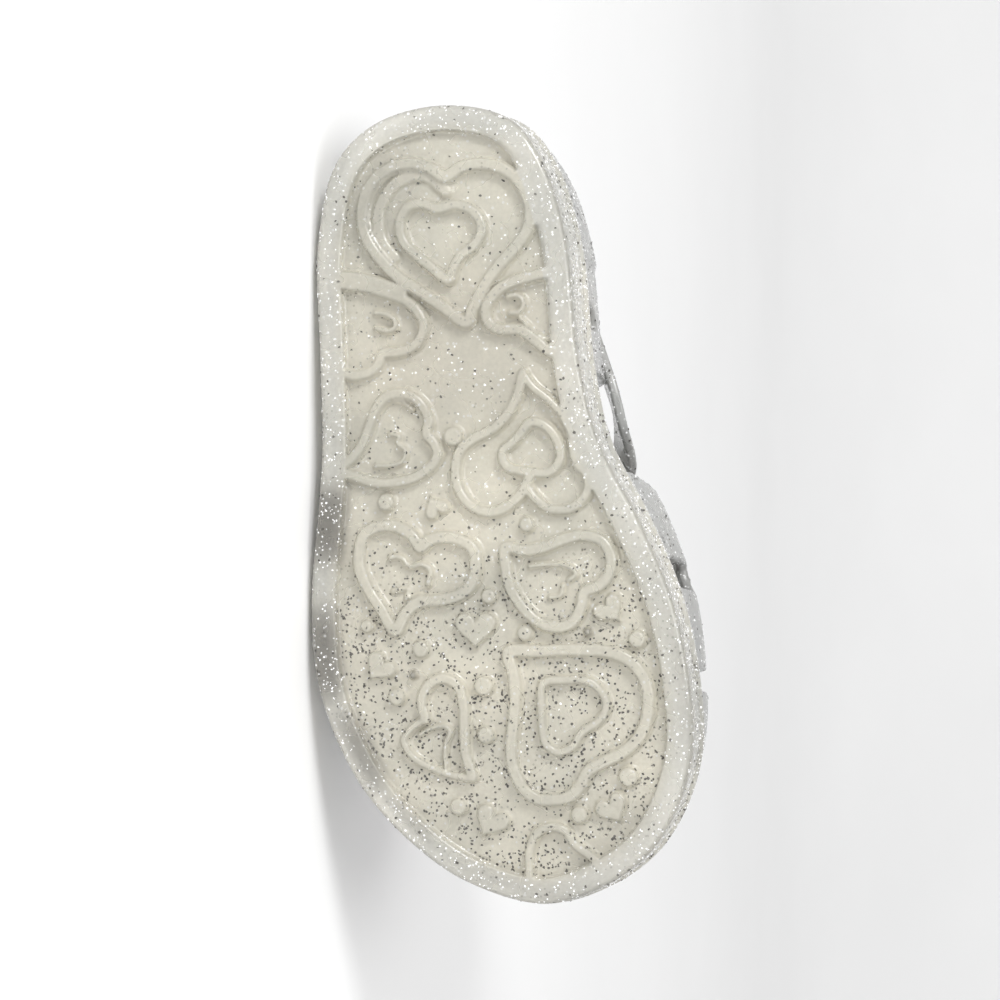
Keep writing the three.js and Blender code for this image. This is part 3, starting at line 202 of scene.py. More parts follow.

# Raised lines of the tread, charted in the photograph's pixels: name, width, height as a share of the tread's
# depth, whether it closes, and the points of its middle.
TREAD = [
    ("heel heart", 13, 1, True, [
        (223, 177), (208, 168), (191, 164), (174, 166), (157, 176), (146, 190), (141, 208),
        (141, 226), (147, 243), (159, 260), (176, 277), (197, 291), (220, 306), (245, 323),
        (252, 307), (263, 286), (278, 265), (295, 246), (306, 229), (309, 213), (305, 196),
        (295, 179), (277, 167), (257, 164), (240, 167),
    ]),
    ("heel heart shelf", 13, 0.5, False, [
        (223, 190), (208, 177), (194, 174), (177, 180), (164, 193), (156, 209), (155, 228),
        (161, 245), (171, 257),
    ]),
    ("heel heart core", 11, 1, True, [
        (216, 209), (202, 204), (188, 206), (180, 216), (178, 228), (182, 242), (193, 254),
        (208, 266), (227, 280), (232, 268), (240, 255), (252, 246), (260, 232), (258, 220),
        (248, 209), (232, 205),
    ]),
    ("left vine", 11, 1, False, [
        (121, 285), (145, 288), (165, 294), (184, 301), (196, 312), (202, 325), (198, 340),
        (186, 350), (171, 353), (161, 354), (156, 366), (145, 374), (132, 376), (121, 374),
    ]),
    ("left curl", 6, 0.8, False, [(153, 313), (163, 314), (172, 320), (173, 328), (164, 331), (154, 328)]),
    ("heart root left", 12, 1, False, [(121, 277), (141, 279), (162, 285), (180, 292)]),
    ("right vine", 12, 1, False, [
        (337, 274), (329, 272), (312, 276), (294, 281), (278, 289), (268, 301), (264, 312),
        (268, 324), (280, 330), (298, 330), (314, 341), (329, 352), (343, 355),
    ]),
    ("right curl", 6, 0.8, False, [(286, 296), (297, 296), (302, 304), (297, 312), (288, 313)]),
    ("right leaf", 4, 0.7, False, [(298, 318), (310, 329), (323, 338), (335, 341)]),
    ("left waist heart", 11, 1, False, [
        (119, 474), (130, 476), (151, 483), (173, 483), (193, 478), (210, 466), (216, 455),
        (212, 443), (205, 435), (207, 422), (202, 408), (190, 397), (175, 394), (162, 399),
        (153, 412), (147, 429), (140, 446), (129, 460), (119, 466),
    ]),
    ("left waist core", 5, 0.8, False, [
        (168, 434), (177, 437), (176, 444), (183, 450), (181, 461), (169, 466), (153, 466),
    ]),
    ("left waist arc", 5, 0.6, False, [(157, 411), (165, 403), (178, 401), (190, 410)]),
    ("right waist heart", 11, 1, False, [
        (301, 374), (296, 396), (285, 416), (270, 430), (251, 440), (239, 451), (234, 468),
        (236, 486), (246, 503), (262, 512), (278, 511), (293, 501), (303, 489), (308, 477),
    ]),
    ("right waist side", 9, 1, False, [
        (301, 374), (312, 388), (326, 399), (341, 416), (350, 435), (352, 455), (356, 466),
    ]),
    ("right waist core", 10, 1, True, [
        (307, 424), (317, 423), (330, 432), (338, 448), (337, 464), (326, 473), (313, 473),
        (297, 471), (284, 466), (281, 452), (292, 442), (300, 433),
    ]),
    ("right waist lobe", 10, 1, False, [
        (356, 466), (366, 477), (365, 494), (349, 509), (328, 509), (313, 498), (304, 485),
    ]),
    ("left ball heart", 13, 1, True, [
        (199, 548), (190, 536), (175, 527), (157, 527), (143, 535), (138, 551), (138, 569),
        (146, 589), (159, 609), (174, 632), (184, 614), (197, 603), (217, 601), (237, 596),
        (251, 583), (254, 565), (251, 549), (237, 540), (219, 538), (206, 542),
    ]),
    ("left ball core", 6, 0.8, False, [
        (168, 558), (179, 558), (188, 567), (200, 565), (208, 571), (206, 585),
    ]),
    ("left ball hook", 4, 0.6, False, [(170, 592), (186, 590), (184, 598), (199, 595)]),
    ("right ball heart", 12, 1, True, [
        (284, 548), (302, 551), (322, 548), (342, 540), (362, 536), (380, 541), (389, 556),
        (388, 574), (378, 586), (363, 593), (360, 607), (351, 623), (335, 628), (318, 623),
        (302, 609), (289, 589), (284, 567),
    ]),
    ("right ball core", 5, 0.8, False, [(308, 567), (329, 565), (347, 567), (354, 575), (347, 581)]),
    ("right ball hook", 5, 0.7, False, [(341, 586), (339, 596), (328, 598)]),
    ("right toe heart", 13, 1, True, [
        (287, 653), (311, 652), (338, 651), (364, 651), (389, 653), (409, 662), (422, 678),
        (427, 698), (426, 718), (418, 738), (402, 753), (382, 763), (367, 772), (360, 785),
        (349, 797), (331, 801), (313, 799), (300, 787), (292, 770), (290, 747), (292, 723),
        (294, 700), (292, 676),
    ]),
    ("right toe core", 9, 1, True, [
        (322, 684), (344, 681), (367, 682), (381, 694), (385, 709), (376, 723), (360, 734),
        (352, 747), (338, 753), (325, 746), (321, 729), (320, 707),
    ]),
    ("left toe heart", 11, 1, False, [
        (204, 720), (200, 705), (206, 687), (222, 679), (236, 687), (242, 707), (243, 732),
        (244, 754), (251, 778),
    ]),
    ("left toe lobe", 8, 0.9, False, [
        (204, 720), (190, 729), (182, 742), (191, 758), (208, 768), (226, 775), (251, 780),
    ]),
    ("left toe core", 5, 0.8, False, [
        (198, 736), (208, 730), (222, 727), (228, 732), (224, 745), (223, 758), (224, 768),
    ]),
    ("tip heart", 10, 1, False, [
        (308, 883), (308, 866), (309, 850), (315, 835), (329, 828), (344, 832), (353, 845),
        (369, 857), (382, 868),
    ]),
]

# Studs of the tread, charted in the same way: x, y, radius.
STUDS = [
    (231, 437, 10), (305, 525, 8), (267, 597, 8), (303, 634, 8), (145, 627, 7), (366, 633, 4),
    (191, 676, 4), (416, 640, 9), (199, 650, 9), (262, 687, 10), (264, 736, 9), (175, 698, 9),
    (237, 808, 9), (358, 816, 9), (407, 778, 10), (164, 503, 9),
]

# Small solid hearts of the tread: x, y, width, and the degrees from a heart that points down.
SMALL_HEARTS = [
    (254, 629, 42, 0), (388, 610, 32, -40), (158, 668, 32, 40), (214, 508, 26, 150), (270, 822, 36, 30),
    (391, 809, 34, -30),
]

# Smooth lines


def smooth(points, count, closed=False):
    """count points, spread evenly over the segments of a centripetal Catmull-Rom line."""
    p = np.asarray(points, float)
    n = len(p)
    segments = n if closed else n - 1
    along = np.linspace(0, segments, count, endpoint=not closed)
    first = np.minimum(along.astype(int), segments - 1)
    share = (along - first)[:, None]
    if closed:
        before, start, end, after = (p[(first + k) % n] for k in (-1, 0, 1, 2))
    else:
        padded = np.vstack([2 * p[0] - p[1], p, 2 * p[-1] - p[-2]])
        before, start, end, after = (padded[first + 1 + k] for k in (-1, 0, 1, 2))

    def spacing(a, b):
        return np.maximum(np.linalg.norm(b - a, axis=1, keepdims=True) ** 0.5, 1e-6)

    d0, d1, d2 = spacing(before, start), spacing(start, end), spacing(end, after)
    leave = ((start - before) / d0 - (end - before) / (d0 + d1) + (end - start) / d1) * d1
    arrive = ((end - start) / d1 - (after - start) / (d1 + d2) + (after - end) / d2) * d1
    return (
        start + leave * share
        + (-3 * start + 3 * end - 2 * leave - arrive) * share**2
        + (2 * start - 2 * end + leave + arrive) * share**3
    )


def column(table, name):
    """A smooth line through one column of a table, as a function of x."""
    line = smooth([(row["at"] * LENGTH, row[name]) for row in table], 12 * len(table) + 1)
    return lambda x: np.interp(x, line[:, 0], line[:, 1])


heel_spring = column(SIDE, "heel_spring")
arch_lift = column(SIDE, "arch")
toe_spring = column(SIDE, "toe_spring")
heel_share = column(SIDE, "heel")
ridge_share = column(RIDGE, "height")
swell_share = column(RIDGE, "swell")


def under(x):
    """Height of the sole's ground face over the ground."""
    return (
        np.maximum(0, HEEL_SPRING * heel_spring(x))
        + np.maximum(0, ARCH_LIFT * arch_lift(x))
        + np.maximum(0, TOE_SPRING * toe_spring(x))
    )


def sole_top(x):
    """Height of the sole's upper face."""
    thick = BALL_THICKNESS + (HEEL_THICKNESS - BALL_THICKNESS) * heel_share(x)
    return under(x) + thick - ARCH_LIFT * arch_lift(x)


def feather_z(x):
    """Height of the featherline, where the upper starts."""
    return sole_top(x) + GAP


# The outline, from the heel's tip along the lateral side to the toe and back, with its outward normals.
OUTLINE_POINTS = 6000


def outline():
    marks = [(0, HEEL_TIP * BALL_WIDTH)]
    marks += [(row["at"] * LENGTH, row["lateral"] * BALL_WIDTH) for row in OUTLINE]
    marks += [(LENGTH, TOE_TIP * BALL_WIDTH)]
    marks += [(row["at"] * LENGTH, row["medial"] * BALL_WIDTH) for row in reversed(OUTLINE)]
    line = smooth(marks, OUTLINE_POINTS, closed=True)
    ahead = np.roll(line, -1, axis=0) - np.roll(line, 1, axis=0)
    ahead /= np.linalg.norm(ahead, axis=1, keepdims=True)
    return line, np.column_stack([-ahead[:, 1], ahead[:, 0]])


EDGE, OUTWARD = outline()


def inset_line(inset):
    """The outline, moved in by inset."""
    return EDGE - inset * OUTWARD


class Sides:
    """The two sides of the outline at an inset, as functions of x."""

    def __init__(self, inset):
        line = inset_line(inset)
        heel, toe = line[:, 0].argmin(), line[:, 0].argmax()
        turned = np.roll(line, -heel, axis=0)
        last = (toe - heel) % len(line)
        self.lateral_line = turned[: last + 1]
        self.medial_line = np.vstack([turned[:1], turned[last:][::-1]])
        self.last = line[toe, 0]

    def lateral(self, x):
        return np.interp(x, self.lateral_line[:, 0], self.lateral_line[:, 1])

    def medial(self, x):
        return np.interp(x, self.medial_line[:, 0], self.medial_line[:, 1])

    def middle(self, x):
        return (self.lateral(x) + self.medial(x)) / 2


feather = Sides(RAND_SETBACK + RAND_WALL / 2)

# The row frame

TURN = np.array(LAID.to_matrix())


def to_row(points):
    """Places of the standing shoe, in millimetres, as the row frame has them, in metres."""
    return (np.asarray(points, float) @ TURN.T + MOVED) * MM


# Camera and stage

AHEAD = np.array([0, cos(radians(TILT)), -sin(radians(TILT))])
LEVEL_UP = np.array([-1.0, 0, 0])
LEVEL_RIGHT = np.cross(AHEAD, LEVEL_UP)
RIGHT = LEVEL_RIGHT * cos(radians(ROLL)) + LEVEL_UP * sin(radians(ROLL))
UP = LEVEL_UP * cos(radians(ROLL)) - LEVEL_RIGHT * sin(radians(ROLL))
EYE = to_row([AIM])[0] - DISTANCE * MM * AHEAD


def camera():
    data = bpy.data.cameras.new("camera")
    data.sensor_width = SENSOR
    data.lens = SENSOR * FOCAL_PX / PICTURE
    data.shift_x = SHIFT_PX[0] / PICTURE
    data.shift_y = SHIFT_PX[1] / PICTURE
    data.clip_start = 0.01
    camera = bpy.data.objects.new("camera", data)
    axes = Matrix((RIGHT, UP, -AHEAD)).transposed().to_4x4()
    camera.matrix_world = Matrix.Translation(Vector(EYE)) @ axes
    bpy.context.collection.objects.link(camera)
    bpy.context.scene.camera = camera


def from_photo(pixels):
    """Where the sight through pixels of the photograph meets the standing sole's ground face."""
    pixels = np.asarray(pixels, float)
    sight = (
        AHEAD * FOCAL_PX
        + np.outer(pixels[:, 0] - AIM_PX[0], RIGHT)
        - np.outer(pixels[:, 1] - AIM_PX[1], UP)
    )
    sight = sight @ TURN
    eye = (EYE / MM - MOVED) @ TURN
    height = np.zeros(len(pixels))
    for _ in range(4):
        met = eye + sight * ((height - eye[2]) / sight[:, 2])[:, None]
        height = under(met[:, 0])
    return met[:, :2]


def px_to_mm(pixels):
    return pixels * DISTANCE / FOCAL_PX


# Meshes

def mesh_object(name, points, faces, smooth_shaded=True):
    """An object from places in the row frame, in metres."""
    mesh = bpy.data.meshes.new(name)
    mesh.from_pydata([tuple(p) for p in points], [], [tuple(int(i) for i in face) for face in faces])
    mesh.update()
    if smooth_shaded:
        mesh.shade_smooth()
    made = bpy.data.objects.new(name, mesh)
    bpy.context.collection.objects.link(made)
    return made


def face_outward(made):
    """Turns the faces of every closed part of a mesh outward."""
    work = bmesh.new()
    work.from_mesh(made.data)
    bmesh.ops.recalc_face_normals(work, faces=work.faces)
    work.to_mesh(made.data)
    work.free()


def closed_mesh(name, points, faces):
    """An object from a closed solid of the standing shoe, in millimetres, with its faces turned outward."""
    made = mesh_object(name, to_row(points), faces)
    face_outward(made)
    return made


def give_attribute(made, name, values):
    layer = made.data.attributes.new(name, "FLOAT", "POINT")
    layer.data.foreach_set("value", np.asarray(values, np.float32))


def joined(parts):
    """Points and faces of several closed parts as one."""
    points = []
    faces = []
    start = 0
    for part_points, part_faces in parts:
        points.append(np.asarray(part_points))
        faces += [[i + start for i in face] for face in part_faces]
        start += len(part_points)
    return np.vstack(points), faces


def tube_faces(rings, n, round_path):
    """Quads between rings of n corners each, and their two caps where the path is open."""
    faces = []
    for i in range(rings if round_path else rings - 1):
        a = i * n
        b = (i + 1) % rings * n
        faces += [(a + k, a + (k + 1) % n, b + (k + 1) % n, b + k) for k in range(n)]
    if not round_path:
        faces += [tuple(range(n))[::-1], tuple(range((rings - 1) * n, rings * n))]
    return faces


def zipped(lateral, medial, xs, flip):
    """Triangles between two chains of corners that both run from heel to toe."""
    faces = []
    i = j = 0
    while i < len(lateral) - 1 or j < len(medial) - 1:
        more_lateral = j == len(medial) - 1 or (
            i < len(lateral) - 1 and xs[lateral[i + 1]] <= xs[medial[j + 1]]
        )
        if more_lateral:
            face = (lateral[i], medial[j], lateral[i + 1])
            i += 1
        else:
            face = (lateral[i], medial[j], medial[j + 1])
            j += 1
        if len(set(face)) == 3:
            faces.append(face[::-1] if flip else face)
    return faces


def loop_cap(loop, xs, flip):
    """Triangles that close a loop of corners, in strips across the shoe."""
    heel = min(range(len(loop)), key=lambda k: xs[loop[k]])
    turned = loop[heel:] + loop[:heel]
    toe = max(range(len(turned)), key=lambda k: xs[turned[k]])
    return zipped(turned[: toe + 1], turned[:1] + turned[toe:][::-1], xs, flip)


# Outsole

TREAD_STEP = 0.33
RIDGE_SLOPE = 0.6


def step_up(distance, slope):
    """0 outside and 1 inside, with a soft slope of that width round distance 0 (inside is positive)."""
    share = np.clip(distance / slope + 0.5, 0, 1)
    return share * share * (3 - 2 * share)


def distance_to_line(points, line):
    """Distance of each point to a line of points, between them too."""
    a, b = line[:-1], line[1:]
    run = b - a
    length = np.maximum((run**2).sum(1), 1e-12)
    nearest = np.full(len(points), np.inf)
    for k in range(len(a)):
        share = np.clip((points - a[k]) @ run[k] / length[k], 0, 1)
        gap = points - a[k] - share[:, None] * run[k]
        nearest = np.minimum(nearest, (gap**2).sum(1))
    return np.sqrt(nearest)


def heart_line(x, y, width, turn):
    """The usual heart curve in pixels of the photograph, closed."""
    t = np.linspace(0, 2 * pi, 40)
    right = width / 32 * 16 * np.sin(t) ** 3
    down = -width / 32 * (13 * np.cos(t) - 5 * np.cos(2 * t) - 2 * np.cos(3 * t) - np.cos(4 * t))
    c, s = cos(radians(turn)), sin(radians(turn))
    return np.column_stack([x + right * c - down * s, y + right * s + down * c])


def inside_line(points, line):
    """Which points are inside a closed line."""
    inside = np.zeros(len(points), bool)
    x, y = points.T
    for (x0, y0), (x1, y1) in zip(line[:-1], line[1:]):
        if y0 == y1:
            continue
        crosses = (y0 > y) != (y1 > y)
        inside ^= crosses & (x < x0 + (y - y0) * (x1 - x0) / (y1 - y0))
    return inside


def tread_height(points):
    """How high the tread stands at places in the recess, as a share of its depth."""
    height = np.zeros(len(points))

    def near(line, margin):
        low, high = line.min(0) - margin, line.max(0) + margin
        return ((points > low) & (points < high)).all(1)

    for _, wide, level, closed, marks in TREAD:
        line = from_photo(smooth(marks, 6 * len(marks), closed))
        if closed:
            line = np.vstack([line, line[:1]])
        half = px_to_mm(wide) / 2
        close = near(line, half + RIDGE_SLOPE)
        rise = level * step_up(half - distance_to_line(points[close], line), RIDGE_SLOPE)
        height[close] = np.maximum(height[close], rise)
    for x, y, radius in STUDS:
        centre = from_photo([(x, y)])[0]
        rise = step_up(px_to_mm(radius) - np.linalg.norm(points - centre, axis=1), RIDGE_SLOPE)
        height = np.maximum(height, rise)
    for x, y, width, turn in SMALL_HEARTS:
        line = from_photo(heart_line(x, y, width, turn))
        close = near(line, RIDGE_SLOPE)
        away = distance_to_line(points[close], line)
        signed = np.where(inside_line(points[close], line), away, -away)
        height[close] = np.maximum(height[close], step_up(signed, RIDGE_SLOPE))
    return height


# Rings of the sole from the recess out and up: inset, kind, and a place within that kind.
# wall: share of the way from the recess's floor to the ground face. ground: millimetres over it.
# side: share of the way from the rounded edge to the welt. top: millimetres under the upper face.
SOLE_RINGS = [
    (RIM_WIDTH - 0.1, "wall", 0.3),
    (RIM_WIDTH - 0.22, "wall", 0.7),
    (RIM_WIDTH - 0.36, "wall", 0.93),
    (RIM_WIDTH - 0.6, "wall", 1),
    (RIM_WIDTH - 2, "ground", 0),
    (EDGE_ROUND + 0.5, "ground", 0),
    (EDGE_ROUND * 0.75, "ground", EDGE_ROUND * 0.05),
    (EDGE_ROUND * 0.35, "ground", EDGE_ROUND * 0.25),
    (EDGE_ROUND * 0.1, "ground", EDGE_ROUND * 0.58),
    (0, "ground", EDGE_ROUND),
    (-0.12, "side", 0.3),
    (-0.23, "side", 0.62),
    (-0.32, "side", 0.9),
    (-0.26, "side", 1),
    (-0.04, "top", WELT_HEIGHT + WELT_GROOVE * 0.5),
    (-0.12, "top", WELT_HEIGHT + WELT_GROOVE * 0.05),
    (-WELT_OUT * 0.75, "top", WELT_HEIGHT - 0.16),
    (-WELT_OUT, "top", WELT_HEIGHT * 0.68),
    (-WELT_OUT, "top", WELT_HEIGHT * 0.38),
    (-WELT_OUT * 0.7, "top", 0.1),
    (-WELT_OUT * 0.3, "top", 0),
    (0.4, "top", 0),
]

# Painted shade of the sole, charted in the photograph's pixels: darker patches that stand in for shade and
# for dark parts seen through the clear plastic. x, y, half length, half width, and how strong each is.
PAINTED_SHADE_PATCHES = [
    (107, 525, 42, 18, 0.95),
    (104, 655, 52, 16, 0.9),
    (140, 752, 48, 13, 0.7),
    (185, 815, 40, 10, 0.35),
    (392, 840, 55, 12, 0.2),
    (467, 700, 70, 9, 0.25),
    (240, 350, 75, 85, 0.27),
    (165, 195, 45, 30, 0.2),
    (290, 882, 70, 14, 0.2),
    (191, 676, 5, 5, 0.6),
    (366, 633, 5, 5, 0.7),
]

# Where the recess's wall is soft: at share of the length on the medial side, and how far it reaches.
SOFT_WALL = dict(at=0.17, half=0.14, widening=1.9)


def painted_shade_at(places):
    """How much painted shade darkens the sole at places, from 0 to 1."""
    painted_shade = np.zeros(len(places))
    for x, y, half_length, half_width, strength in PAINTED_SHADE_PATCHES:
        centre = from_photo([(x, y)])[0]
        index = ((EDGE - centre) ** 2).sum(1).argmin()
        outward = OUTWARD[index]
        along = np.array([outward[1], -outward[0]])
        away = places - centre
        a = away @ along / px_to_mm(half_length)
        b = away @ outward / px_to_mm(half_width)
        painted_shade = np.maximum(painted_shade, strength * np.exp(-(a**4) - b**4))
    return painted_shade


def boundary_loop(faces):
    """The one loop of edges that only one face has, in order."""
    after = {}
    for face in faces:
        for k in range(len(face)):
            after[(face[k], face[(k + 1) % len(face)])] = True
    step = {a: b for a, b in after if (b, a) not in after}
    start = next(iter(step))
    loop = [start]
    while step[loop[-1]] != start:
        loop.append(step[loop[-1]])
    return loop


def outsole():
    recess = Sides(RIM_WIDTH)
    xs = np.arange(RIM_WIDTH, LENGTH - RIM_WIDTH, TREAD_STEP)
    ys = np.arange(-BALL_WIDTH * 0.6, BALL_WIDTH * 0.5, TREAD_STEP)
    mid_x = (xs[:-1] + TREAD_STEP / 2)[:, None]
    mid_y = (ys[:-1] + TREAD_STEP / 2)[None, :]
    kept = (mid_y < recess.lateral(mid_x)) & (mid_y > recess.medial(mid_x))
    kept &= (mid_x > RIM_WIDTH + 0.1) & (mid_x < recess.last - 0.1)
    used = np.zeros((len(xs), len(ys)), bool)
    for di in (0, 1):
        for dj in (0, 1):
            used[di : di + kept.shape[0], dj : dj + kept.shape[1]] |= kept
    number = np.full(used.shape, -1)
    number[used] = np.arange(used.sum())
    flat = np.column_stack([g[used] for g in np.meshgrid(xs, ys, indexing="ij")])
    i, j = np.nonzero(kept)
    faces = np.column_stack(
        [number[i, j], number[i, j + 1], number[i + 1, j + 1], number[i + 1, j]]
    ).tolist()
    loop = boundary_loop(faces)
    line = inset_line(RIM_WIDTH)
    nearest = [int(((line - flat[k]) ** 2).sum(1).argmin()) for k in loop]
    shift = int(np.argmin(nearest))
    loop = loop[shift:] + loop[:shift]
    nearest = nearest[shift:] + nearest[:shift]
    if nearest[1] > nearest[-1]:
        loop = loop[:1] + loop[1:][::-1]
        nearest = nearest[:1] + nearest[1:][::-1]
    station = np.maximum.accumulate(nearest)
    for k in range(1, len(station)):
        station[k] = max(station[k], station[k - 1] + 1)
    station = np.minimum(station, OUTLINE_POINTS - 1)
    flat[loop] = line[station]
    raised = tread_height(flat)
    floor = under(flat[:, 0]) + TREAD_DEPTH * (1 - raised)
    points = [np.column_stack([flat, floor])]
    thick = [raised]
    rim = [np.zeros(len(flat))]
    edge_floor = floor[loop]
    n = len(loop)
    count = len(flat)
    edge_x, edge_y = EDGE[station].T
    medial = edge_y < feather.middle(edge_x)
    soft = medial * np.exp(-(((edge_x / LENGTH - SOFT_WALL["at"]) / SOFT_WALL["half"]) ** 4))
    for inset, kind, value in SOLE_RINGS:
        widening = 1 + SOFT_WALL["widening"] * soft * (kind == "wall")
        ring = EDGE[station] - (RIM_WIDTH - (RIM_WIDTH - inset) * widening)[:, None] * OUTWARD[station]
        x = ring[:, 0]
        if kind == "wall":
            z = edge_floor + (under(x) - edge_floor) * value
            thick.append(np.maximum(raised[loop], value))
            rim.append(np.maximum(value * 0.5, soft))
            points.append(np.column_stack([ring, z]))
            continue
        if kind == "ground":
            z = under(x) + value
            thick.append(np.full(n, 1.0))
        elif kind == "side":
            foot = under(x) + EDGE_ROUND
            z = foot + (sole_top(x) - WELT_HEIGHT - WELT_GROOVE - foot) * value
            thick.append(np.full(n, 0.6))
        else:
            z = sole_top(x) - value
            thick.append(np.full(n, 0.45))
        rim.append(np.full(n, 1.0))
        points.append(np.column_stack([ring, z]))
    points = np.vstack(points)
    previous = loop
    for r in range(len(SOLE_RINGS)):
        ring = list(range(count + r * n, count + (r + 1) * n))
        faces += [(previous[k], previous[(k + 1) % n], ring[(k + 1) % n], ring[k]) for k in range(n)]
        previous = ring
    faces += loop_cap(previous, points[:, 0], False)
    made = closed_mesh("outsole_moulding", points, faces)
    give_attribute(made, "thick", np.concatenate(thick))
    give_attribute(made, "rim", np.concatenate(rim))
    height = points[:, 2] - under(points[:, 0])
    # Painted shade: a dark line along the sole's rounded edge, where clear plastic looks dark edge-on, joined with
    # the painted shade patches up to 8 mm over the ground face.
    painted_edge_shade = 0.4 * np.exp(-(((height - EDGE_ROUND * 0.7) / 0.5) ** 2)) * (np.concatenate(rim) == 1)
    give_attribute(made, "painted_shade", np.maximum(painted_edge_shade, painted_shade_at(points[:, :2])) * (height < 8))
    return made


# Upper's surfaces

DOME_START = LENGTH - TOE_DOME
DOME_RUN = feather.last - DOME_START
DOME_END = 1.5


def swell(x, reach):
    """How far the medial side of the vamp stands out over the sole."""
    up = np.minimum(1, (1 + reach) / SWELL_SHARE)
    return MEDIAL_SWELL * np.maximum(0, swell_share(x)) * np.sin(pi * up) ** 2


def vamp_middle(u, reach):
    """The middle of the vamp's wall: u along the shoe, reach from -1 at the medial sole to 1 at the lateral."""
    turned = np.maximum(0, (u - DOME_START) / DOME_RUN)
    x = np.where(turned > 0, DOME_START + DOME_RUN * np.sin(turned), u)
    angle = (1 - np.abs(reach)) * pi / 2
    full = 2 / SECTION_FULLNESS
    half = (feather.lateral(x) - feather.medial(x)) / 2
    y = feather.middle(x) + np.sign(reach) * half * np.abs(np.cos(angle)) ** full - swell(x, reach)
    z = feather_z(x) + INSTEP_HEIGHT * ridge_share(x) * np.cos(turned) * np.abs(np.sin(angle)) ** full
    return np.stack([x, y, z], -1)


def walk(line):
    """Distance along the featherline from the heel's tip."""
    return np.concatenate([[0], np.cumsum(np.linalg.norm(np.diff(line, axis=0), axis=1))])


WALKS = {"lateral": walk(feather.lateral_line), "medial": walk(feather.medial_line)}


def walk_to(x, side):
    line = feather.lateral_line if side == "lateral" else feather.medial_line
    return (1 if side == "lateral" else -1) * np.interp(x, line[:, 0], WALKS[side])


def counter_middle(s, up):
    """The middle of the counter's wall: s round the heel from its back, up from the featherline."""
    lateral = s >= 0
    far = np.abs(s)
    x = np.where(
        lateral,
        np.interp(far, WALKS["lateral"], feather.lateral_line[:, 0]),
        np.interp(far, WALKS["medial"], feather.medial_line[:, 0]),
    )
    y = np.where(
        lateral,
        np.interp(far, WALKS["lateral"], feather.lateral_line[:, 1]),
        np.interp(far, WALKS["medial"], feather.medial_line[:, 1]),
    )
    centre_x = np.maximum(x, HEEL_CENTRE)
    inward = np.stack([centre_x - x, feather.middle(centre_x) - y], -1)
    inward /= np.linalg.norm(inward, axis=-1, keepdims=True)
    share = up / COUNTER_HEIGHT
    lean = COUNTER_LEAN * share**2 - COUNTER_BULGE * np.sin(pi * np.minimum(1, share))
    return np.stack([x + inward[..., 0] * lean, y + inward[..., 1] * lean, feather_z(x) + up], -1)


def off_wall(surface, u, v, step_v, out):
    """Places on a wall's middle surface, moved out along its normal."""
    u, v, out = np.broadcast_arrays(np.asarray(u, float), np.asarray(v, float), np.asarray(out, float))
    step_u = 0.05
    here = surface(u, v)
    du = surface(u + step_u, v) - surface(u - step_u, v)
    dv = surface(u, v + step_v) - surface(u, v - step_v)
    normal = np.cross(du, dv)
    normal /= np.linalg.norm(normal, axis=-1, keepdims=True)
    inside = np.maximum(HEEL_CENTRE, np.minimum(here[..., 0], DOME_START))
    away = np.stack([here[..., 0] - inside, here[..., 1] - feather.middle(inside), here[..., 2]], -1)
    normal = np.where((normal * away).sum(-1, keepdims=True) < 0, -normal, normal)
    return here + normal * out[..., None]


def on_vamp(u, reach, out):
    return off_wall(vamp_middle, u, reach, 0.002, out)


def on_counter(s, up, out):
    return off_wall(counter_middle, s, up, 0.05, out)


def sheet_solid(inner, outer, kept=None):
    """A closed wall between two grids of places. kept says which cells it has."""
    rows, cols = inner.shape[:2]
    if kept is None:
        kept = np.ones((rows - 1, cols - 1), bool)
    points = np.vstack([inner.reshape(-1, 3), outer.reshape(-1, 3)])
    half = rows * cols
    i, j = np.nonzero(kept)
    a = i * cols + j
    quads = np.column_stack([a, a + 1, a + cols + 1, a + cols])
    faces = quads.tolist() + (quads[:, ::-1] + half).tolist()
    padded = np.pad(kept, 1)
    edges = []
    for di, dj, first, second in ((-1, 0, 0, 1), (1, 0, 3, 2), (0, -1, 3, 0), (0, 1, 1, 2)):
        open_side = ~padded[1 + di : rows + di, 1 + dj : cols + dj][i, j]
        edges.append(quads[open_side][:, [first, second]])
    for k, (p, q) in enumerate(np.vstack(edges).tolist()):
        faces.append((p, q, q + half, p + half))
    used = np.unique(np.concatenate([np.asarray(face) for face in faces]))
    number = np.full(len(points), -1)
    number[used] = np.arange(len(used))
    return points[used], [[number[i] for i in face] for face in faces]


def capsule_distance(p, centre, lean, half, radius):
    away = p - centre
    along = np.clip(away @ lean, radius - half, half - radius)
    away = away - along[..., None] * lean
    return np.linalg.norm(away, axis=-1) - radius


VAMP_GRID = (210, 250)


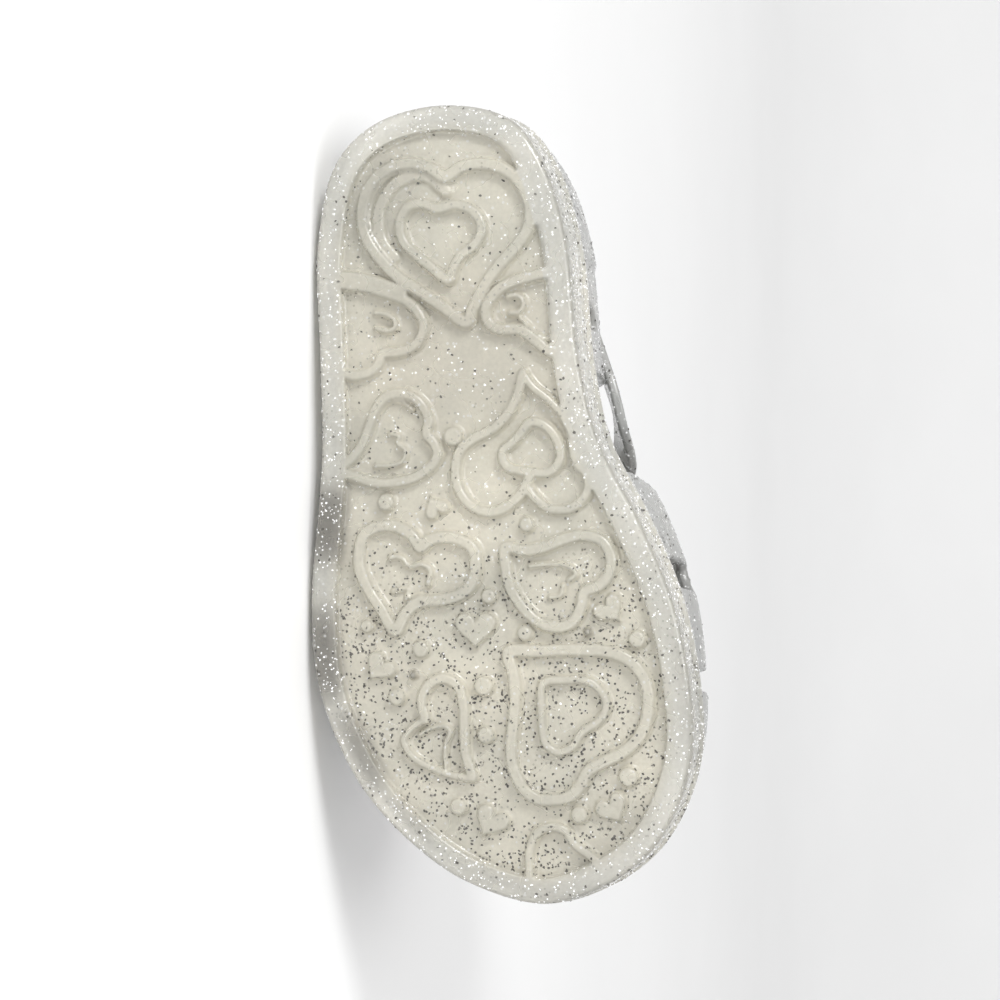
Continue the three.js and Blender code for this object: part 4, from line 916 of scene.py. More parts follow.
def vamp():
    rows, cols = VAMP_GRID
    reach = np.linspace(-0.985, 0.985, cols)
    rear = np.interp(np.abs(reach), [row["reach"] for row in VAMP_EDGE], [row["at"] for row in VAMP_EDGE])
    share = np.linspace(0, 1, rows)[:, None]
    end = DOME_START + DOME_RUN * DOME_END
    u = rear * LENGTH + (end - rear * LENGTH) * share
    v = np.broadcast_to(reach, u.shape).copy()
    kept = np.ones((rows - 1, cols - 1), bool)
    for side in (1, -1):
        for window in WINDOWS:
            slant = radians(side * window["slant"])
            lean = np.array([-sin(slant), cos(slant)])
            centre = np.array([window["at"] * LENGTH, side * window["reach"] * HALF_GIRTH])
            half = window["long"] * HALF_GIRTH / 2
            radius = window["wide"] * LENGTH / 2
            flat = np.stack([u, v * HALF_GIRTH], -1)
            middles = (flat[:-1, :-1] + flat[1:, :-1] + flat[1:, 1:] + flat[:-1, 1:]) / 4
            kept &= capsule_distance(middles, centre, lean, half, radius) > 0
            distance = capsule_distance(flat, centre, lean, half, radius)
            nudge = 0.01
            slope = np.stack(
                [
                    capsule_distance(flat + [nudge, 0], centre, lean, half, radius) - distance,
                    capsule_distance(flat + [0, nudge], centre, lean, half, radius) - distance,
                ],
                -1,
            ) / nudge
            near = (np.abs(distance) < 0.3)[..., None]
            moved = flat - near * slope * distance[..., None]
            u, v = moved[..., 0], moved[..., 1] / HALF_GIRTH
    return sheet_solid(on_vamp(u, v, -WALL / 2), on_vamp(u, v, WALL / 2), kept)


def counter():
    marks = []
    for side in ("medial", "lateral"):
        for row in COUNTER_SECTIONS:
            marks.append((walk_to(row["at"] * LENGTH, side) if row["at"] else 0.0, row["low"], row["high"]))
    marks = np.array(sorted(set(marks)))
    s = np.linspace(marks[0, 0], marks[-1, 0], 300)[:, None]
    low = np.interp(s, marks[:, 0], marks[:, 1])
    high = np.interp(s, marks[:, 0], marks[:, 2])
    share = np.linspace(0, 1, 96)[None, :]
    up = (low + (high - low) * share) * COUNTER_HEIGHT
    s = np.broadcast_to(s, up.shape)
    middle_s = (s[:-1, :-1] + s[1:, 1:]) / 2
    middle_up = (up[:-1, :-1] + up[1:, 1:]) / 2
    kept = np.ones(middle_s.shape, bool)
    for side in ("lateral", "medial"):
        start = walk_to(COUNTER_WINDOW["start"] * LENGTH, side)
        end = walk_to(COUNTER_WINDOW["end"] * LENGTH, side)
        along = np.clip((middle_s - start) / (end - start), 0, 1)
        rise = 0.1 + 0.9 * np.sqrt(1 - (1 - along) ** 2)
        top = COUNTER_WINDOW["low"] + (COUNTER_WINDOW["high"] - COUNTER_WINDOW["low"]) * rise
        inside = (along > 0) & (along < 1)
        inside &= (middle_up > COUNTER_WINDOW["low"] * COUNTER_HEIGHT) & (middle_up < top * COUNTER_HEIGHT)
        kept &= ~inside
    return sheet_solid(on_counter(s, up, -WALL / 2), on_counter(s, up, WALL / 2), kept)


def heel_panel():
    front = HEEL_PANEL["front"] * LENGTH
    share = np.linspace(0, 1, 160)[:, None]
    medial, lateral = walk_to(front, "medial"), walk_to(front, "lateral")
    s = medial + (lateral - medial) * share
    crown = HEEL_PANEL["high"] + (HEEL_PANEL["top"] - HEEL_PANEL["high"]) * (1 - (2 * share - 1) ** 2)
    up = (HEEL_PANEL["low"] + (crown - HEEL_PANEL["low"]) * np.linspace(0, 1, 60)) * COUNTER_HEIGHT
    s = np.broadcast_to(s, up.shape)
    return sheet_solid(on_counter(s, up, -WALL / 4), on_counter(s, up, WALL / 2 + HEEL_PANEL_STEP))


def rand():
    stations = np.arange(0, OUTLINE_POINTS, 10)
    outer = EDGE[stations] - RAND_SETBACK * OUTWARD[stations]
    inner = EDGE[stations] - (RAND_SETBACK + RAND_WALL) * OUTWARD[stations]
    foot = feather_z(outer[:, 0])
    corners = [(outer, 0), (outer, RAND_HEIGHT - 0.4), (inner, RAND_HEIGHT), (inner, 0)]
    rings = np.stack([np.column_stack([line, foot + high]) for line, high in corners], 1)
    return rings.reshape(-1, 3), tube_faces(len(stations), 4, True)


def unit(v):
    return v / np.linalg.norm(v, axis=-1, keepdims=True)


def band(middle, outs, width, thickness, section, narrowing=None, round_path=False):
    """A band with that section, whose corners are given as shares of its width and thickness."""
    if round_path:
        along = np.roll(middle, -1, axis=0) - np.roll(middle, 1, axis=0)
    else:
        along = np.gradient(middle, axis=0)
    along = unit(along)
    side = unit(np.cross(along, outs))
    face = unit(np.cross(side, along))
    narrow = np.ones(len(middle)) if narrowing is None else narrowing
    rings = [
        middle + side * (a * width * narrow / 2)[:, None] + face * (b * thickness / 2) for a, b in section
    ]
    points = np.stack(rings, 1).reshape(-1, 3)
    return points, tube_faces(len(middle), len(section), round_path)


def rounded_section(width, thickness, radius, steps=4):
    """Corners of a rounded rectangle, as shares of half its width and thickness."""
    corners = []
    for x, y, start in ((1, 1, 0), (-1, 1, 90), (-1, -1, 180), (1, -1, 270)):
        for k in range(steps + 1):
            angle = radians(start + 90 * k / steps)
            px = x * (width / 2 - radius) + radius * cos(angle)
            py = y * (thickness / 2 - radius) + radius * sin(angle)
            corners.append((px * 2 / width, py * 2 / thickness))
    return corners


# Buckle's own place, off the lateral counter


def lateral_s(x):
    return walk_to(x, "lateral")


class Buckle:
    def __init__(self):
        self.rise = sin(radians(BUCKLE_TILT))
        self.run = cos(radians(BUCKLE_TILT))
        half_run = (self.run * BUCKLE_LENGTH + self.rise * 2 * BUCKLE_HALF_WIDTH) / 2
        self.x = COUNTER_END * LENGTH + GAP + half_run
        self.level = STRAP_LEVEL + self.rise * BUCKLE_LENGTH / 2
        self.middle = self.on_wall(0, 0)
        self.back = unit(self.on_wall(BUCKLE_LENGTH / 2, 0) - self.on_wall(-BUCKLE_LENGTH / 2, 0))
        self.wide = unit(np.cross(self.on_wall(0, 1) - self.middle, self.back))
        self.out = unit(np.cross(self.back, self.wide))

    def on_wall(self, along, out):
        return on_counter(lateral_s(self.x - self.run * along), self.level - self.rise * along, out)

    def place(self, b, w, o):
        return self.middle + self.back * b + self.wide * w + self.out * o


BUCKLE = Buckle()
BAR_AT = (BUCKLE_LENGTH - BAR) / 2
STRAP_OVER_BAR = KNUCKLE_RADIUS + GAP + STRAP_THICKNESS / 2
STRAP_UNDER_BAR = -(BAR / 2 + GAP + STRAP_THICKNESS / 2)
RIDGE_SIDE = 0.0005


def strap_marks():
    """Places of the ankle strap's middle and the way its outer face looks."""
    start = COUNTER_FRONT * LENGTH

    def mark(surface, u, v, out):
        here = surface(u, v, out)
        return here, surface(u, v, out + 1) - here

    def medial(x, out):
        return mark(on_counter, walk_to(x, "medial"), STRAP_LEVEL, out)

    def over(row):
        return mark(on_vamp, row["at"] * LENGTH, row["reach"], row["off"] * WALL)

    def in_buckle(b, o):
        return BUCKLE.place(b, 0, o), BUCKLE.out

    def past(along, out):
        return BUCKLE.on_wall(along, out), BUCKLE.out

    under_fold = WALL / 2 + GAP + STRAP_THICKNESS / 2
    over_counter = WALL / 2 + 2 * GAP + STRAP_THICKNESS / 2
    return [
        medial(start - STRAP_WIDTH, 0),
        medial(start, WALL * STRAP_ROOT),
        medial(start + STRAP_WIDTH, WALL * STRAP_FREE),
        *[over(row) for row in OVER_FOOT_MEDIAL],
        mark(on_vamp, STRAP_CROSSING * LENGTH, RIDGE_SIDE, under_fold),
        *[over(row) for row in OVER_FOOT_LATERAL],
        in_buckle(-BAR_AT - STRAP_WIDTH, STRAP_UNDER_BAR),
        in_buckle(-BAR_AT - STRAP_WIDTH / 2, STRAP_UNDER_BAR),
        in_buckle(-BAR_AT, STRAP_UNDER_BAR),
        in_buckle(-BAR_AT + BAR, STRAP_UNDER_BAR),
        in_buckle(BAR_AT / 4, STRAP_OVER_BAR * 0.6),
        in_buckle(BAR_AT, STRAP_OVER_BAR),
        in_buckle(BAR_AT + STRAP_WIDTH / 2, STRAP_OVER_BAR),
        past(BAR_AT + STRAP_WIDTH, over_counter + GAP),
        past(BAR_AT + TIP_LENGTH, over_counter),
    ]


def strap():
    marks = strap_marks()
    steps = 260
    middle = smooth([p for p, _ in marks], steps)
    outs = smooth([out for _, out in marks], steps)
    gone = np.concatenate([[0], np.cumsum(np.linalg.norm(np.diff(middle, axis=0), axis=1))])
    left = np.clip((gone[-1] - gone) / (STRAP_WIDTH * 0.5), 0, 1)
    narrowing = 0.25 + 0.75 * np.sqrt(1 - (1 - left) ** 2)
    section = rounded_section(STRAP_WIDTH, STRAP_THICKNESS, 0.55)
    return band(middle, outs, STRAP_WIDTH, STRAP_THICKNESS, section, narrowing)


def strap_fold():
    rise = WALL / 2 + 2 * GAP + STRAP_THICKNESS + LOOP_WALL * 0.7
    reach = STRAP_WIDTH / 2 + 2 * LOOP_WALL
    x = STRAP_CROSSING * LENGTH
    marks = [on_vamp(x + along * reach, RIDGE_SIDE, high * rise) for along, high in FOLD]
    foot = on_vamp(x, RIDGE_SIDE, WALL / 2)
    middle = smooth(marks, 60)
    outs = middle - foot
    outs[:, 1] = 0
    return band(middle, outs, LOOP_WIDTH, LOOP_WALL, rounded_section(LOOP_WIDTH, LOOP_WALL, 0.5))


def rod(radius, length, hole=0.0):
    """A rod, or a ring with a hole, round the buckle's rear bar."""
    n = 32
    angles = np.linspace(0, 2 * pi, n, endpoint=False)
    profile = []
    round_edge = min(0.4, length / 4)
    for k in range(4):
        turn = pi / 2 * k / 3
        profile.append((radius - round_edge * (1 - sin(turn)), -length / 2 + round_edge * (1 - cos(turn))))
    for k in range(4):
        turn = pi / 2 * (1 - k / 3)
        profile.append((radius - round_edge * (1 - sin(turn)), length / 2 - round_edge * (1 - cos(turn))))
    core = max(hole, 0.05)
    profile += [(core, length / 2), (core, -length / 2)]
    rings = []
    for angle in angles:
        for r, w in profile:
            rings.append(BUCKLE.place(BAR_AT + r * cos(angle), w, r * sin(angle)))
    return np.array(rings), tube_faces(n, len(profile), True)


BAR_HOLE = BAR / 2 * 2**0.5 + GAP


def tab():
    share = np.linspace(0, 1, 30)
    middle = np.array([BUCKLE.on_wall(BAR_AT + t * TAB_LENGTH, 0) for t in share])
    outs = np.broadcast_to(BUCKLE.out, middle.shape)
    section = rounded_section(STRAP_WIDTH, WALL * 0.9, 0.5)
    return band(middle, outs, STRAP_WIDTH, WALL * 0.9, section)


# Remeshing

UPPER_VOXEL = 0.6
UPPER_SMOOTHINGS = 4


def with_modifiers(made):
    """Puts the modified mesh in place of the plain one."""
    depsgraph = bpy.context.evaluated_depsgraph_get()
    mesh = bpy.data.meshes.new_from_object(made.evaluated_get(depsgraph))
    old = made.data
    made.modifiers.clear()
    made.data = mesh
    bpy.data.meshes.remove(old)
    mesh.name = made.name
    mesh.shade_smooth()
    return made


def moulded(made, voxel, passes):
    """Joins the solids of a mesh into one skin with softened edges."""
    remesh = made.modifiers.new("remesh", "REMESH")
    remesh.mode = "VOXEL"
    remesh.voxel_size = voxel * MM
    soften = made.modifiers.new("soften", "SMOOTH")
    soften.factor = 0.5
    soften.iterations = passes
    return with_modifiers(made)


def upper():
    knuckle = rod(KNUCKLE_RADIUS, STRAP_WIDTH, BAR_HOLE)
    parts = [vamp(), counter(), heel_panel(), rand(), strap_fold(), tab(), knuckle]
    points, faces = joined(parts)
    return moulded(closed_mesh("upper_moulding", points, faces), UPPER_VOXEL, UPPER_SMOOTHINGS)


def ankle_strap():
    points, faces = strap()
    return closed_mesh("ankle_strap", points, faces)


# Footbed


def insole():
    edge = RAND_SETBACK + RAND_WALL + GAP
    stations = np.arange(0, OUTLINE_POINTS, 16)
    levels = [(0, 0), (0, INSOLE_THICKNESS - INSOLE_BEVEL)]
    for k in range(1, 5):
        turn = pi / 2 * k / 4
        levels.append((INSOLE_BEVEL * (1 - cos(turn)), INSOLE_THICKNESS - INSOLE_BEVEL * (1 - sin(turn))))
    levels += [(INSOLE_BEVEL + 1.2, INSOLE_THICKNESS), (INSOLE_BEVEL + 1.7, INSOLE_THICKNESS - 0.25)]
    levels += [(INSOLE_BEVEL + 2.2, INSOLE_THICKNESS - 0.25)]
    points = []
    for inset, height in levels:
        ring = EDGE[stations] - (edge + inset) * OUTWARD[stations]
        points.append(np.column_stack([ring, sole_top(ring[:, 0]) + GAP + height]))
    points = np.vstack(points)
    n = len(stations)
    faces = []
    for r in range(len(levels) - 1):
        a, b = r * n, (r + 1) * n
        faces += [(a + k, a + (k + 1) % n, b + (k + 1) % n, b + k) for k in range(n)]
    faces += loop_cap(list(range(n)), points[:, 0], True)
    faces += loop_cap(list(range((len(levels) - 1) * n, len(levels) * n)), points[:, 0], False)
    return closed_mesh("footbed", points, faces)


# Buckle


def rounded_path(long, wide, radius, steps=10):
    corners = []
    for x, y, start in ((1, 1, 0), (-1, 1, 90), (-1, -1, 180), (1, -1, 270)):
        for k in range(steps + 1):
            angle = radians(start + 90 * k / steps)
            ahead = x * (long / 2 - radius) + radius * cos(angle)
            aside = y * (wide / 2 - radius) + radius * sin(angle)
            corners.append((ahead, aside))
    return np.array(corners)


def buckle_frame():
    path = rounded_path(BUCKLE_LENGTH - BAR, 2 * BUCKLE_HALF_WIDTH - BAR, BAR * 0.85)
    middle = np.array([BUCKLE.place(b, w, 0) for b, w in path])
    outs = np.broadcast_to(BUCKLE.out, middle.shape)
    section = rounded_section(BAR, BAR, BAR * 0.36, 5)
    points, faces = band(middle, outs, BAR, BAR, section, round_path=True)
    return closed_mesh("buckle_ring", points, faces)


def buckle_prong():
    lies = BAR / 2 + GAP + PRONG_THICKNESS / 2
    marks = [
        BUCKLE.place(BAR_AT - 0.6, 0, 0.6),
        BUCKLE.place(BAR_AT - KNUCKLE_RADIUS, 0, GAP + 0.5),
        BUCKLE.place(-BAR_AT / 2, 0, lies),
        BUCKLE.place(-BAR_AT - PRONG_TIP, 0, lies),
    ]
    middle = smooth(marks, 40)
    share = np.linspace(0, 1, 40)
    narrowing = 1 - 0.45 * np.clip((share - 0.75) / 0.25, 0, 1) ** 2
    section = rounded_section(PRONG_WIDTH, PRONG_THICKNESS, 0.4)
    outs = np.broadcast_to(BUCKLE.out, middle.shape)
    arm = band(middle, outs, PRONG_WIDTH, PRONG_THICKNESS, section, narrowing)
    eye = rod(KNUCKLE_RADIUS - GAP / 2, PRONG_WIDTH, BAR_HOLE)
    points, faces = joined([arm, eye])
    return closed_mesh("buckle_tongue", points, faces)


# Bow

BOW_FOOT = WALL / 2 + GAP
BOW_BASE = BOW_FOOT + KNOT_WALL + GAP + BOW_RIBBON / 2


def bow_reach(y):
    half = (feather.lateral(BOW_AT) - feather.medial(BOW_AT)) / 2
    share = np.minimum(1, np.abs(y) / half) ** (SECTION_FULLNESS / 2)
    return np.sign(y) * np.arcsin(share) * 2 / pi


BOW_STEPS = 170
BOW_ACROSS = 26
PLEAT_DEPTH = 0.35


def bow_loops():
    waist = (KNOT_WIDTH / 2 + GAP) / (BOW_SPAN / 2)
    quarter = np.arccos(waist + (1 - waist) * np.sin(pi / 2 * np.linspace(0, 1, BOW_STEPS // 4)))
    half = np.concatenate([quarter[::-1], pi - quarter])
    half = half[half.argsort()]
    turns = np.unique(np.concatenate([half, half[1:-1] + pi]).round(6))

    def strand(phi, aside):
        out = np.maximum(0, np.abs(np.cos(phi)) - waist) / (1 - waist)
        loop = np.where(np.sin(phi) > 0, BOW_LOOP_HEIGHT * np.sin(pi * out) ** 0.8, 0)
        above = np.maximum(0, np.sin(phi)) ** 0.3 * (BOW_RIBBON + GAP) + loop
        reach = bow_reach(BOW_SPAN / 2 * np.cos(phi))
        return on_vamp(BOW_AT + aside, reach, BOW_BASE + BOW_END_LIFT * out**4 + above)

    out = np.maximum(0, np.abs(np.cos(turns)) - waist)
    wide = (BOW_WAIST + (BOW_WIDTH - BOW_WAIST) * out**0.7) / 2
    ahead = strand(turns + 0.06, 0.0) - strand(turns - 0.06, 0.0)
    sideways = unit(strand(turns, 1.0) - strand(turns, -1.0))
    face = unit(np.cross(ahead, sideways))
    top = np.linspace(0.9, -0.9, BOW_ACROSS)
    corners = [(1, 0.4)] + [(t, 1) for t in top] + [(-1, 0.4)]
    corners += [(-a, -b) for a, b in corners]
    pleat_fade = np.exp(-out * 7)
    rings = []
    for a, b in corners:
        pleat = PLEAT_DEPTH * np.cos(a * 3 * pi) * pleat_fade
        rings.append(strand(turns, a * wide) + face * (b * BOW_RIBBON / 2 + pleat)[:, None])
    points = np.stack(rings, 1).reshape(-1, 3)
    return closed_mesh("bow_ribbon", points, tube_faces(len(turns), len(corners), True))


def bow_knot():
    high = 2 * BOW_RIBBON + 4 * GAP
    long = BOW_WAIST + 3 * GAP
    centre = on_vamp(BOW_AT, RIDGE_SIDE, BOW_FOOT + KNOT_WALL + high / 2)
    out = unit(on_vamp(BOW_AT, RIDGE_SIDE, 1) - on_vamp(BOW_AT, RIDGE_SIDE, 0))
    sideways = np.cross(unit(np.cross([0, 1, 0], out)), out)
    along = np.cross(out, sideways)
    path = rounded_path(long + KNOT_WALL, high + KNOT_WALL, KNOT_WALL * 0.9)
    middle = centre + path[:, :1] * along + path[:, 1:] * out
    outs = middle - centre
    width = KNOT_WIDTH
    rings = []
    steps = 14
    n_out = unit(outs)
    for k in range(2 * steps):
        turn = 2 * pi * k / (2 * steps)
        a = np.sign(cos(turn)) * abs(cos(turn)) ** 0.45
        b = np.sign(sin(turn)) * abs(sin(turn)) ** 0.7
        groove = 0.16 * cos(3 * pi * a) if b > 0 else 0
        rings.append(middle + sideways * (a * width / 2) + n_out * (b * KNOT_WALL / 2 + groove))
    points = np.stack(rings, 1).reshape(-1, 3)
    return closed_mesh("bow_band", points, tube_faces(len(path), 2 * steps, True))


# Glitter


def surface_samples(made, count, rng):
    """count places spread over an object's surface, with their normals."""
    mesh = made.data
    mesh.calc_loop_triangles()
    corners = np.empty(len(mesh.vertices) * 3)
    mesh.vertices.foreach_get("co", corners)
    corners = corners.reshape(-1, 3)
    index = np.empty(len(mesh.loop_triangles) * 3, int)
    mesh.loop_triangles.foreach_get("vertices", index)
    a, b, c = corners[index.reshape(-1, 3)].transpose(1, 0, 2)
    cross = np.cross(b - a, c - a)
    area = np.linalg.norm(cross, axis=1)
    chosen = rng.choice(len(area), count, p=area / area.sum())
    s, t = rng.random((2, count))
    fold = s + t > 1
    s[fold], t[fold] = 1 - s[fold], 1 - t[fold]
    places = a[chosen] + (b - a)[chosen] * s[:, None] + (c - a)[chosen] * t[:, None]
    return places, cross[chosen] / area[chosen][:, None]


FLAKE_THICKNESS = 0.03
FLAKE_TILT = 0.3
DARK_FLAKE_RADII = (0.15, 0.32)
BRIGHT_FLAKE_RADII = (0.09, 0.24)


def flakes(name, places, normals, radius, rng):
    """Thin closed six-sided plates at places, each leaning its own way."""
    count = len(places)
    lean = unit(normals + rng.normal(0, FLAKE_TILT, (count, 3)))
    side = unit(np.cross(lean, rng.normal(0, 1, (count, 3))))
    other = np.cross(lean, side)
    reach = radius[:, None] * MM
    corners = []
    for k in range(6):
        angle = pi / 3 * k
        corners.append(places + (side * cos(angle) + other * sin(angle)) * reach)
    corners.append(places + lean * FLAKE_THICKNESS * MM)
    corners.append(places - lean * FLAKE_THICKNESS * MM)
    points = np.stack(corners, 1).reshape(-1, 3)
    pattern = [(k, (k + 1) % 6, 6) for k in range(6)] + [((k + 1) % 6, k, 7) for k in range(6)]
    start = (8 * np.arange(count))[:, None, None]
    faces = (start + np.array(pattern)[None]).reshape(-1, 3)
    return mesh_object(name, points, faces.tolist(), smooth_shaded=False)


def glitter(name, made, count, kind, seed):
    """Flakes at an object's surface. kind(places) gives the chances that one is kept and that it is dark."""
    rng = np.random.default_rng(seed)
    places, normals = surface_samples(made, count, rng)
    chance, darkness = kind(places)
    kept = rng.random(count) < chance
    places, normals, darkness = places[kept], normals[kept], darkness[kept]
    dark = rng.random(len(places)) < darkness
    depth = np.where(dark, rng.uniform(0, 0.02, len(places)), rng.uniform(-0.03, 0.03, len(places))) * MM
    dark_radius = rng.uniform(*DARK_FLAKE_RADII, len(places))
    radius = np.where(dark, dark_radius, rng.uniform(*BRIGHT_FLAKE_RADII, len(places)))
    piece = flakes(name, places + normals * depth[:, None], normals, radius, rng)
    # Painted reflection: dark flakes get a dark tone, as silver flakes show where they mirror dark surroundings;
    # bright flakes get a pale tone, as painted glints.
    tone = np.where(dark, rng.uniform(0, 0.3, len(places)), rng.uniform(0.55, 1, len(places)))
    give_attribute(piece, "tone", np.repeat(tone, 8))
    return piece


# Materials


class Nodes:
    """A material's nodes, with short calls to add and link them."""

    def __init__(self, name):
        self.material = bpy.data.materials.new(name)
        self.material.use_nodes = True
        self.tree = self.material.node_tree
        self.shader = self.tree.nodes["Principled BSDF"]

    def link(self, out, into):
        self.tree.links.new(out, into)

    def ramp(self, source, stops):
        node = self.tree.nodes.new("ShaderNodeValToRGB")
        elements = node.color_ramp.elements
        while len(elements) < len(stops):
            elements.new(0.5)
        for element, (position, colour) in zip(elements, stops):
            element.position = position
            element.color = colour if len(colour) == 4 else (*colour, 1)
        self.link(source, node.inputs["Fac"])
        return node.outputs["Color"]

    def mix(self, share, first, second, blend="MIX"):
        node = self.tree.nodes.new("ShaderNodeMix")
        node.data_type = "RGBA"
        node.blend_type = blend
        sockets = [node.inputs[0], node.inputs[6], node.inputs[7]]
        for socket, value in zip(sockets, (share, first, second)):
            if isinstance(value, bpy.types.NodeSocket):
                self.link(value, socket)
            elif isinstance(value, (tuple, list)):
                socket.default_value = (*value, 1)[:4]
            else:
                socket.default_value = value
        return node.outputs[2]

    def math(self, operation, first, second=0.0):
        node = self.tree.nodes.new("ShaderNodeMath")
        node.operation = operation
        for socket, value in zip(node.inputs, (first, second)):
            if isinstance(value, bpy.types.NodeSocket):
                self.link(value, socket)
            else:
                socket.default_value = value
        return node.outputs[0]

    def noise(self, scale, detail=2.0, roughness=0.5):
        coordinates = self.coordinates()
        node = self.tree.nodes.new("ShaderNodeTexNoise")
        node.inputs["Scale"].default_value = scale
        node.inputs["Detail"].default_value = detail
        node.inputs["Roughness"].default_value = roughness
        self.link(coordinates, node.inputs["Vector"])
        return node.outputs["Fac"]

    def coordinates(self):
        if not hasattr(self, "place"):
            self.place = self.tree.nodes.new("ShaderNodeTexCoord").outputs["Object"]
        return self.place

    def attribute(self, name):
        node = self.tree.nodes.new("ShaderNodeAttribute")
        node.attribute_name = name
        return node.outputs["Fac"]

    def bump(self, height, strength, distance, previous=None):
        node = self.tree.nodes.new("ShaderNodeBump")
        node.inputs["Strength"].default_value = strength
        node.inputs["Distance"].default_value = distance
        self.link(height, node.inputs["Height"])
        if previous is not None:
            self.link(previous, node.inputs["Normal"])
        return node.outputs["Normal"]

    def specks(self, scale, size, share, seed_axis="Red"):
        """1 inside small round flakes, which only that share of the cells have."""
        voronoi = self.tree.nodes.new("ShaderNodeTexVoronoi")
        voronoi.inputs["Scale"].default_value = scale
        self.link(self.coordinates(), voronoi.inputs["Vector"])
        near = self.math("LESS_THAN", voronoi.outputs["Distance"], size)
        parted = self.tree.nodes.new("ShaderNodeSeparateColor")
        self.link(voronoi.outputs["Color"], parted.inputs["Color"])
        chosen = self.math("LESS_THAN", parted.outputs[seed_axis], share)
        return self.math("MULTIPLY", near, chosen)


# Painted light: the recess, where the plastic is thin, is lighter as light comes through it, and the thicker
# ridges are darker.
RECESS_TONE = (0.82, 0.785, 0.68)
RIDGE_TONE = (0.76, 0.73, 0.63)
RIM_TONE = (0.79, 0.775, 0.715)
UPPER_TONE = (0.54, 0.54, 0.525)
PAINTED_SHADE_TONE = (0.21, 0.2, 0.18)
CLEARNESS = 0.55


def scaled(colour, factor):
    return tuple(min(1, value * factor) for value in colour)


def clear_plastic(name, low, high, edge, transmission):
    """Milky clear moulded plastic with fine glitter: tones low in the recess, high on the ridges, edge on the rim.

    On the slopes between low and high it has a painted highlight: a pale line, as clear plastic shows at its
    edges.
    """
    m = Nodes(name)
    # The stop at 0.3 is the painted highlight, a pale line on the slopes of the tread.
    stops = [(0, low), (0.1, low), (0.3, scaled(low, 1.12)), (0.5, low), (0.72, high), (0.95, high)]
    body = m.ramp(m.attribute("thick"), stops)
    body = m.mix(m.attribute("rim"), body, edge)
    cloud = m.ramp(m.noise(55, 3), [(0.3, (0.84, 0.85, 0.85)), (0.7, (1.09, 1.08, 1.06))])
    body = m.mix(1.0, body, cloud, "MULTIPLY")
    grain = m.ramp(m.noise(1500, 2), [(0.3, (0.93, 0.93, 0.93)), (0.7, (1.05, 1.05, 1.05))])
    body = m.mix(1.0, body, grain, "MULTIPLY")
    # Painted shade: the sole darkens towards this tone along its rounded edge and in the painted shade patches.
    body = m.mix(m.attribute("painted_shade"), body, PAINTED_SHADE_TONE)
    # Glitter specks in painted light: dark specks are flakes painted dark, as they look against the light behind
    # them; bright specks are painted glints.
    tiny_dark = m.specks(1300, 0.27, 0.24, "Green")
    painted_glints = m.specks(1100, 0.28, 0.16)
    body = m.mix(m.math("MULTIPLY", tiny_dark, 0.4), body, (0.2, 0.2, 0.19))
    body = m.mix(m.math("MULTIPLY", painted_glints, 0.6), body, (0.97, 0.97, 0.97))
    m.link(body, m.shader.inputs["Base Color"])
    roughness = m.ramp(m.noise(160, 2), [(0.3, (0.2, 0.2, 0.2)), (0.7, (0.36, 0.36, 0.36))])
    m.link(roughness, m.shader.inputs["Roughness"])
    m.shader.inputs["Transmission Weight"].default_value = transmission
    m.shader.inputs["IOR"].default_value = 1.5
    m.shader.inputs["Coat Weight"].default_value = 0.25
    m.shader.inputs["Coat Roughness"].default_value = 0.08
    normal = m.bump(m.noise(70, 2), 0.25, 0.001)
    normal = m.bump(m.noise(700, 2), 0.2, 0.00012, normal)
    m.link(normal, m.shader.inputs["Normal"])
    return m.material


def flake_metal():
    m = Nodes("silver_flakes")
    # Painted reflection: the tone gives dark flakes a dark colour and bright flakes a pale one.
    tones = [(0, (0.07, 0.066, 0.06)), (0.4, (0.16, 0.155, 0.14)), (0.5, (0.8, 0.8, 0.8))]
    colour = m.ramp(m.attribute("tone"), tones)
    m.link(colour, m.shader.inputs["Base Color"])
    # Painted glint: the bright flakes glow, though they are no lamp.
    painted_glint_glow = m.ramp(m.attribute("tone"), [(0.45, (0, 0, 0)), (1, (0.9, 0.92, 0.95))])
    m.link(painted_glint_glow, m.shader.inputs["Emission Color"])
    m.shader.inputs["Emission Strength"].default_value = 0.3
    m.shader.inputs["Specular IOR Level"].default_value = 0.3
    m.shader.inputs["Roughness"].default_value = 0.4
    return m.material


def chrome():
    m = Nodes("buckle_steel")
    colour = m.ramp(m.noise(300, 3), [(0.3, (0.60, 0.61, 0.62)), (0.7, (0.72, 0.73, 0.74))])
    m.link(colour, m.shader.inputs["Base Color"])
    m.shader.inputs["Metallic"].default_value = 1.0
    roughness = m.ramp(m.noise(500, 4), [(0.3, (0.14, 0.14, 0.14)), (0.75, (0.3, 0.3, 0.3))])
    m.link(roughness, m.shader.inputs["Roughness"])
    m.link(m.bump(m.noise(900, 3), 0.12, 0.0001), m.shader.inputs["Normal"])
    return m.material


def pink_plastic():
    m = Nodes("bow_pink")
    base = m.ramp(m.noise(70, 3), [(0.3, (0.56, 0.12, 0.20)), (0.7, (0.66, 0.17, 0.26))])
    # Painted glints: pale specks where glitter would catch the light.
    painted_sparkle = m.specks(1400, 0.24, 0.2)
    base = m.mix(m.math("MULTIPLY", painted_sparkle, 0.8), base, (0.98, 0.78, 0.84))
    m.link(base, m.shader.inputs["Base Color"])
    m.shader.inputs["Roughness"].default_value = 0.28
    m.shader.inputs["Transmission Weight"].default_value = 0.15
    m.shader.inputs["Coat Weight"].default_value = 0.4
    m.shader.inputs["Coat Roughness"].default_value = 0.1
    m.link(m.bump(m.noise(120, 3), 0.3, 0.0008), m.shader.inputs["Normal"])
    return m.material


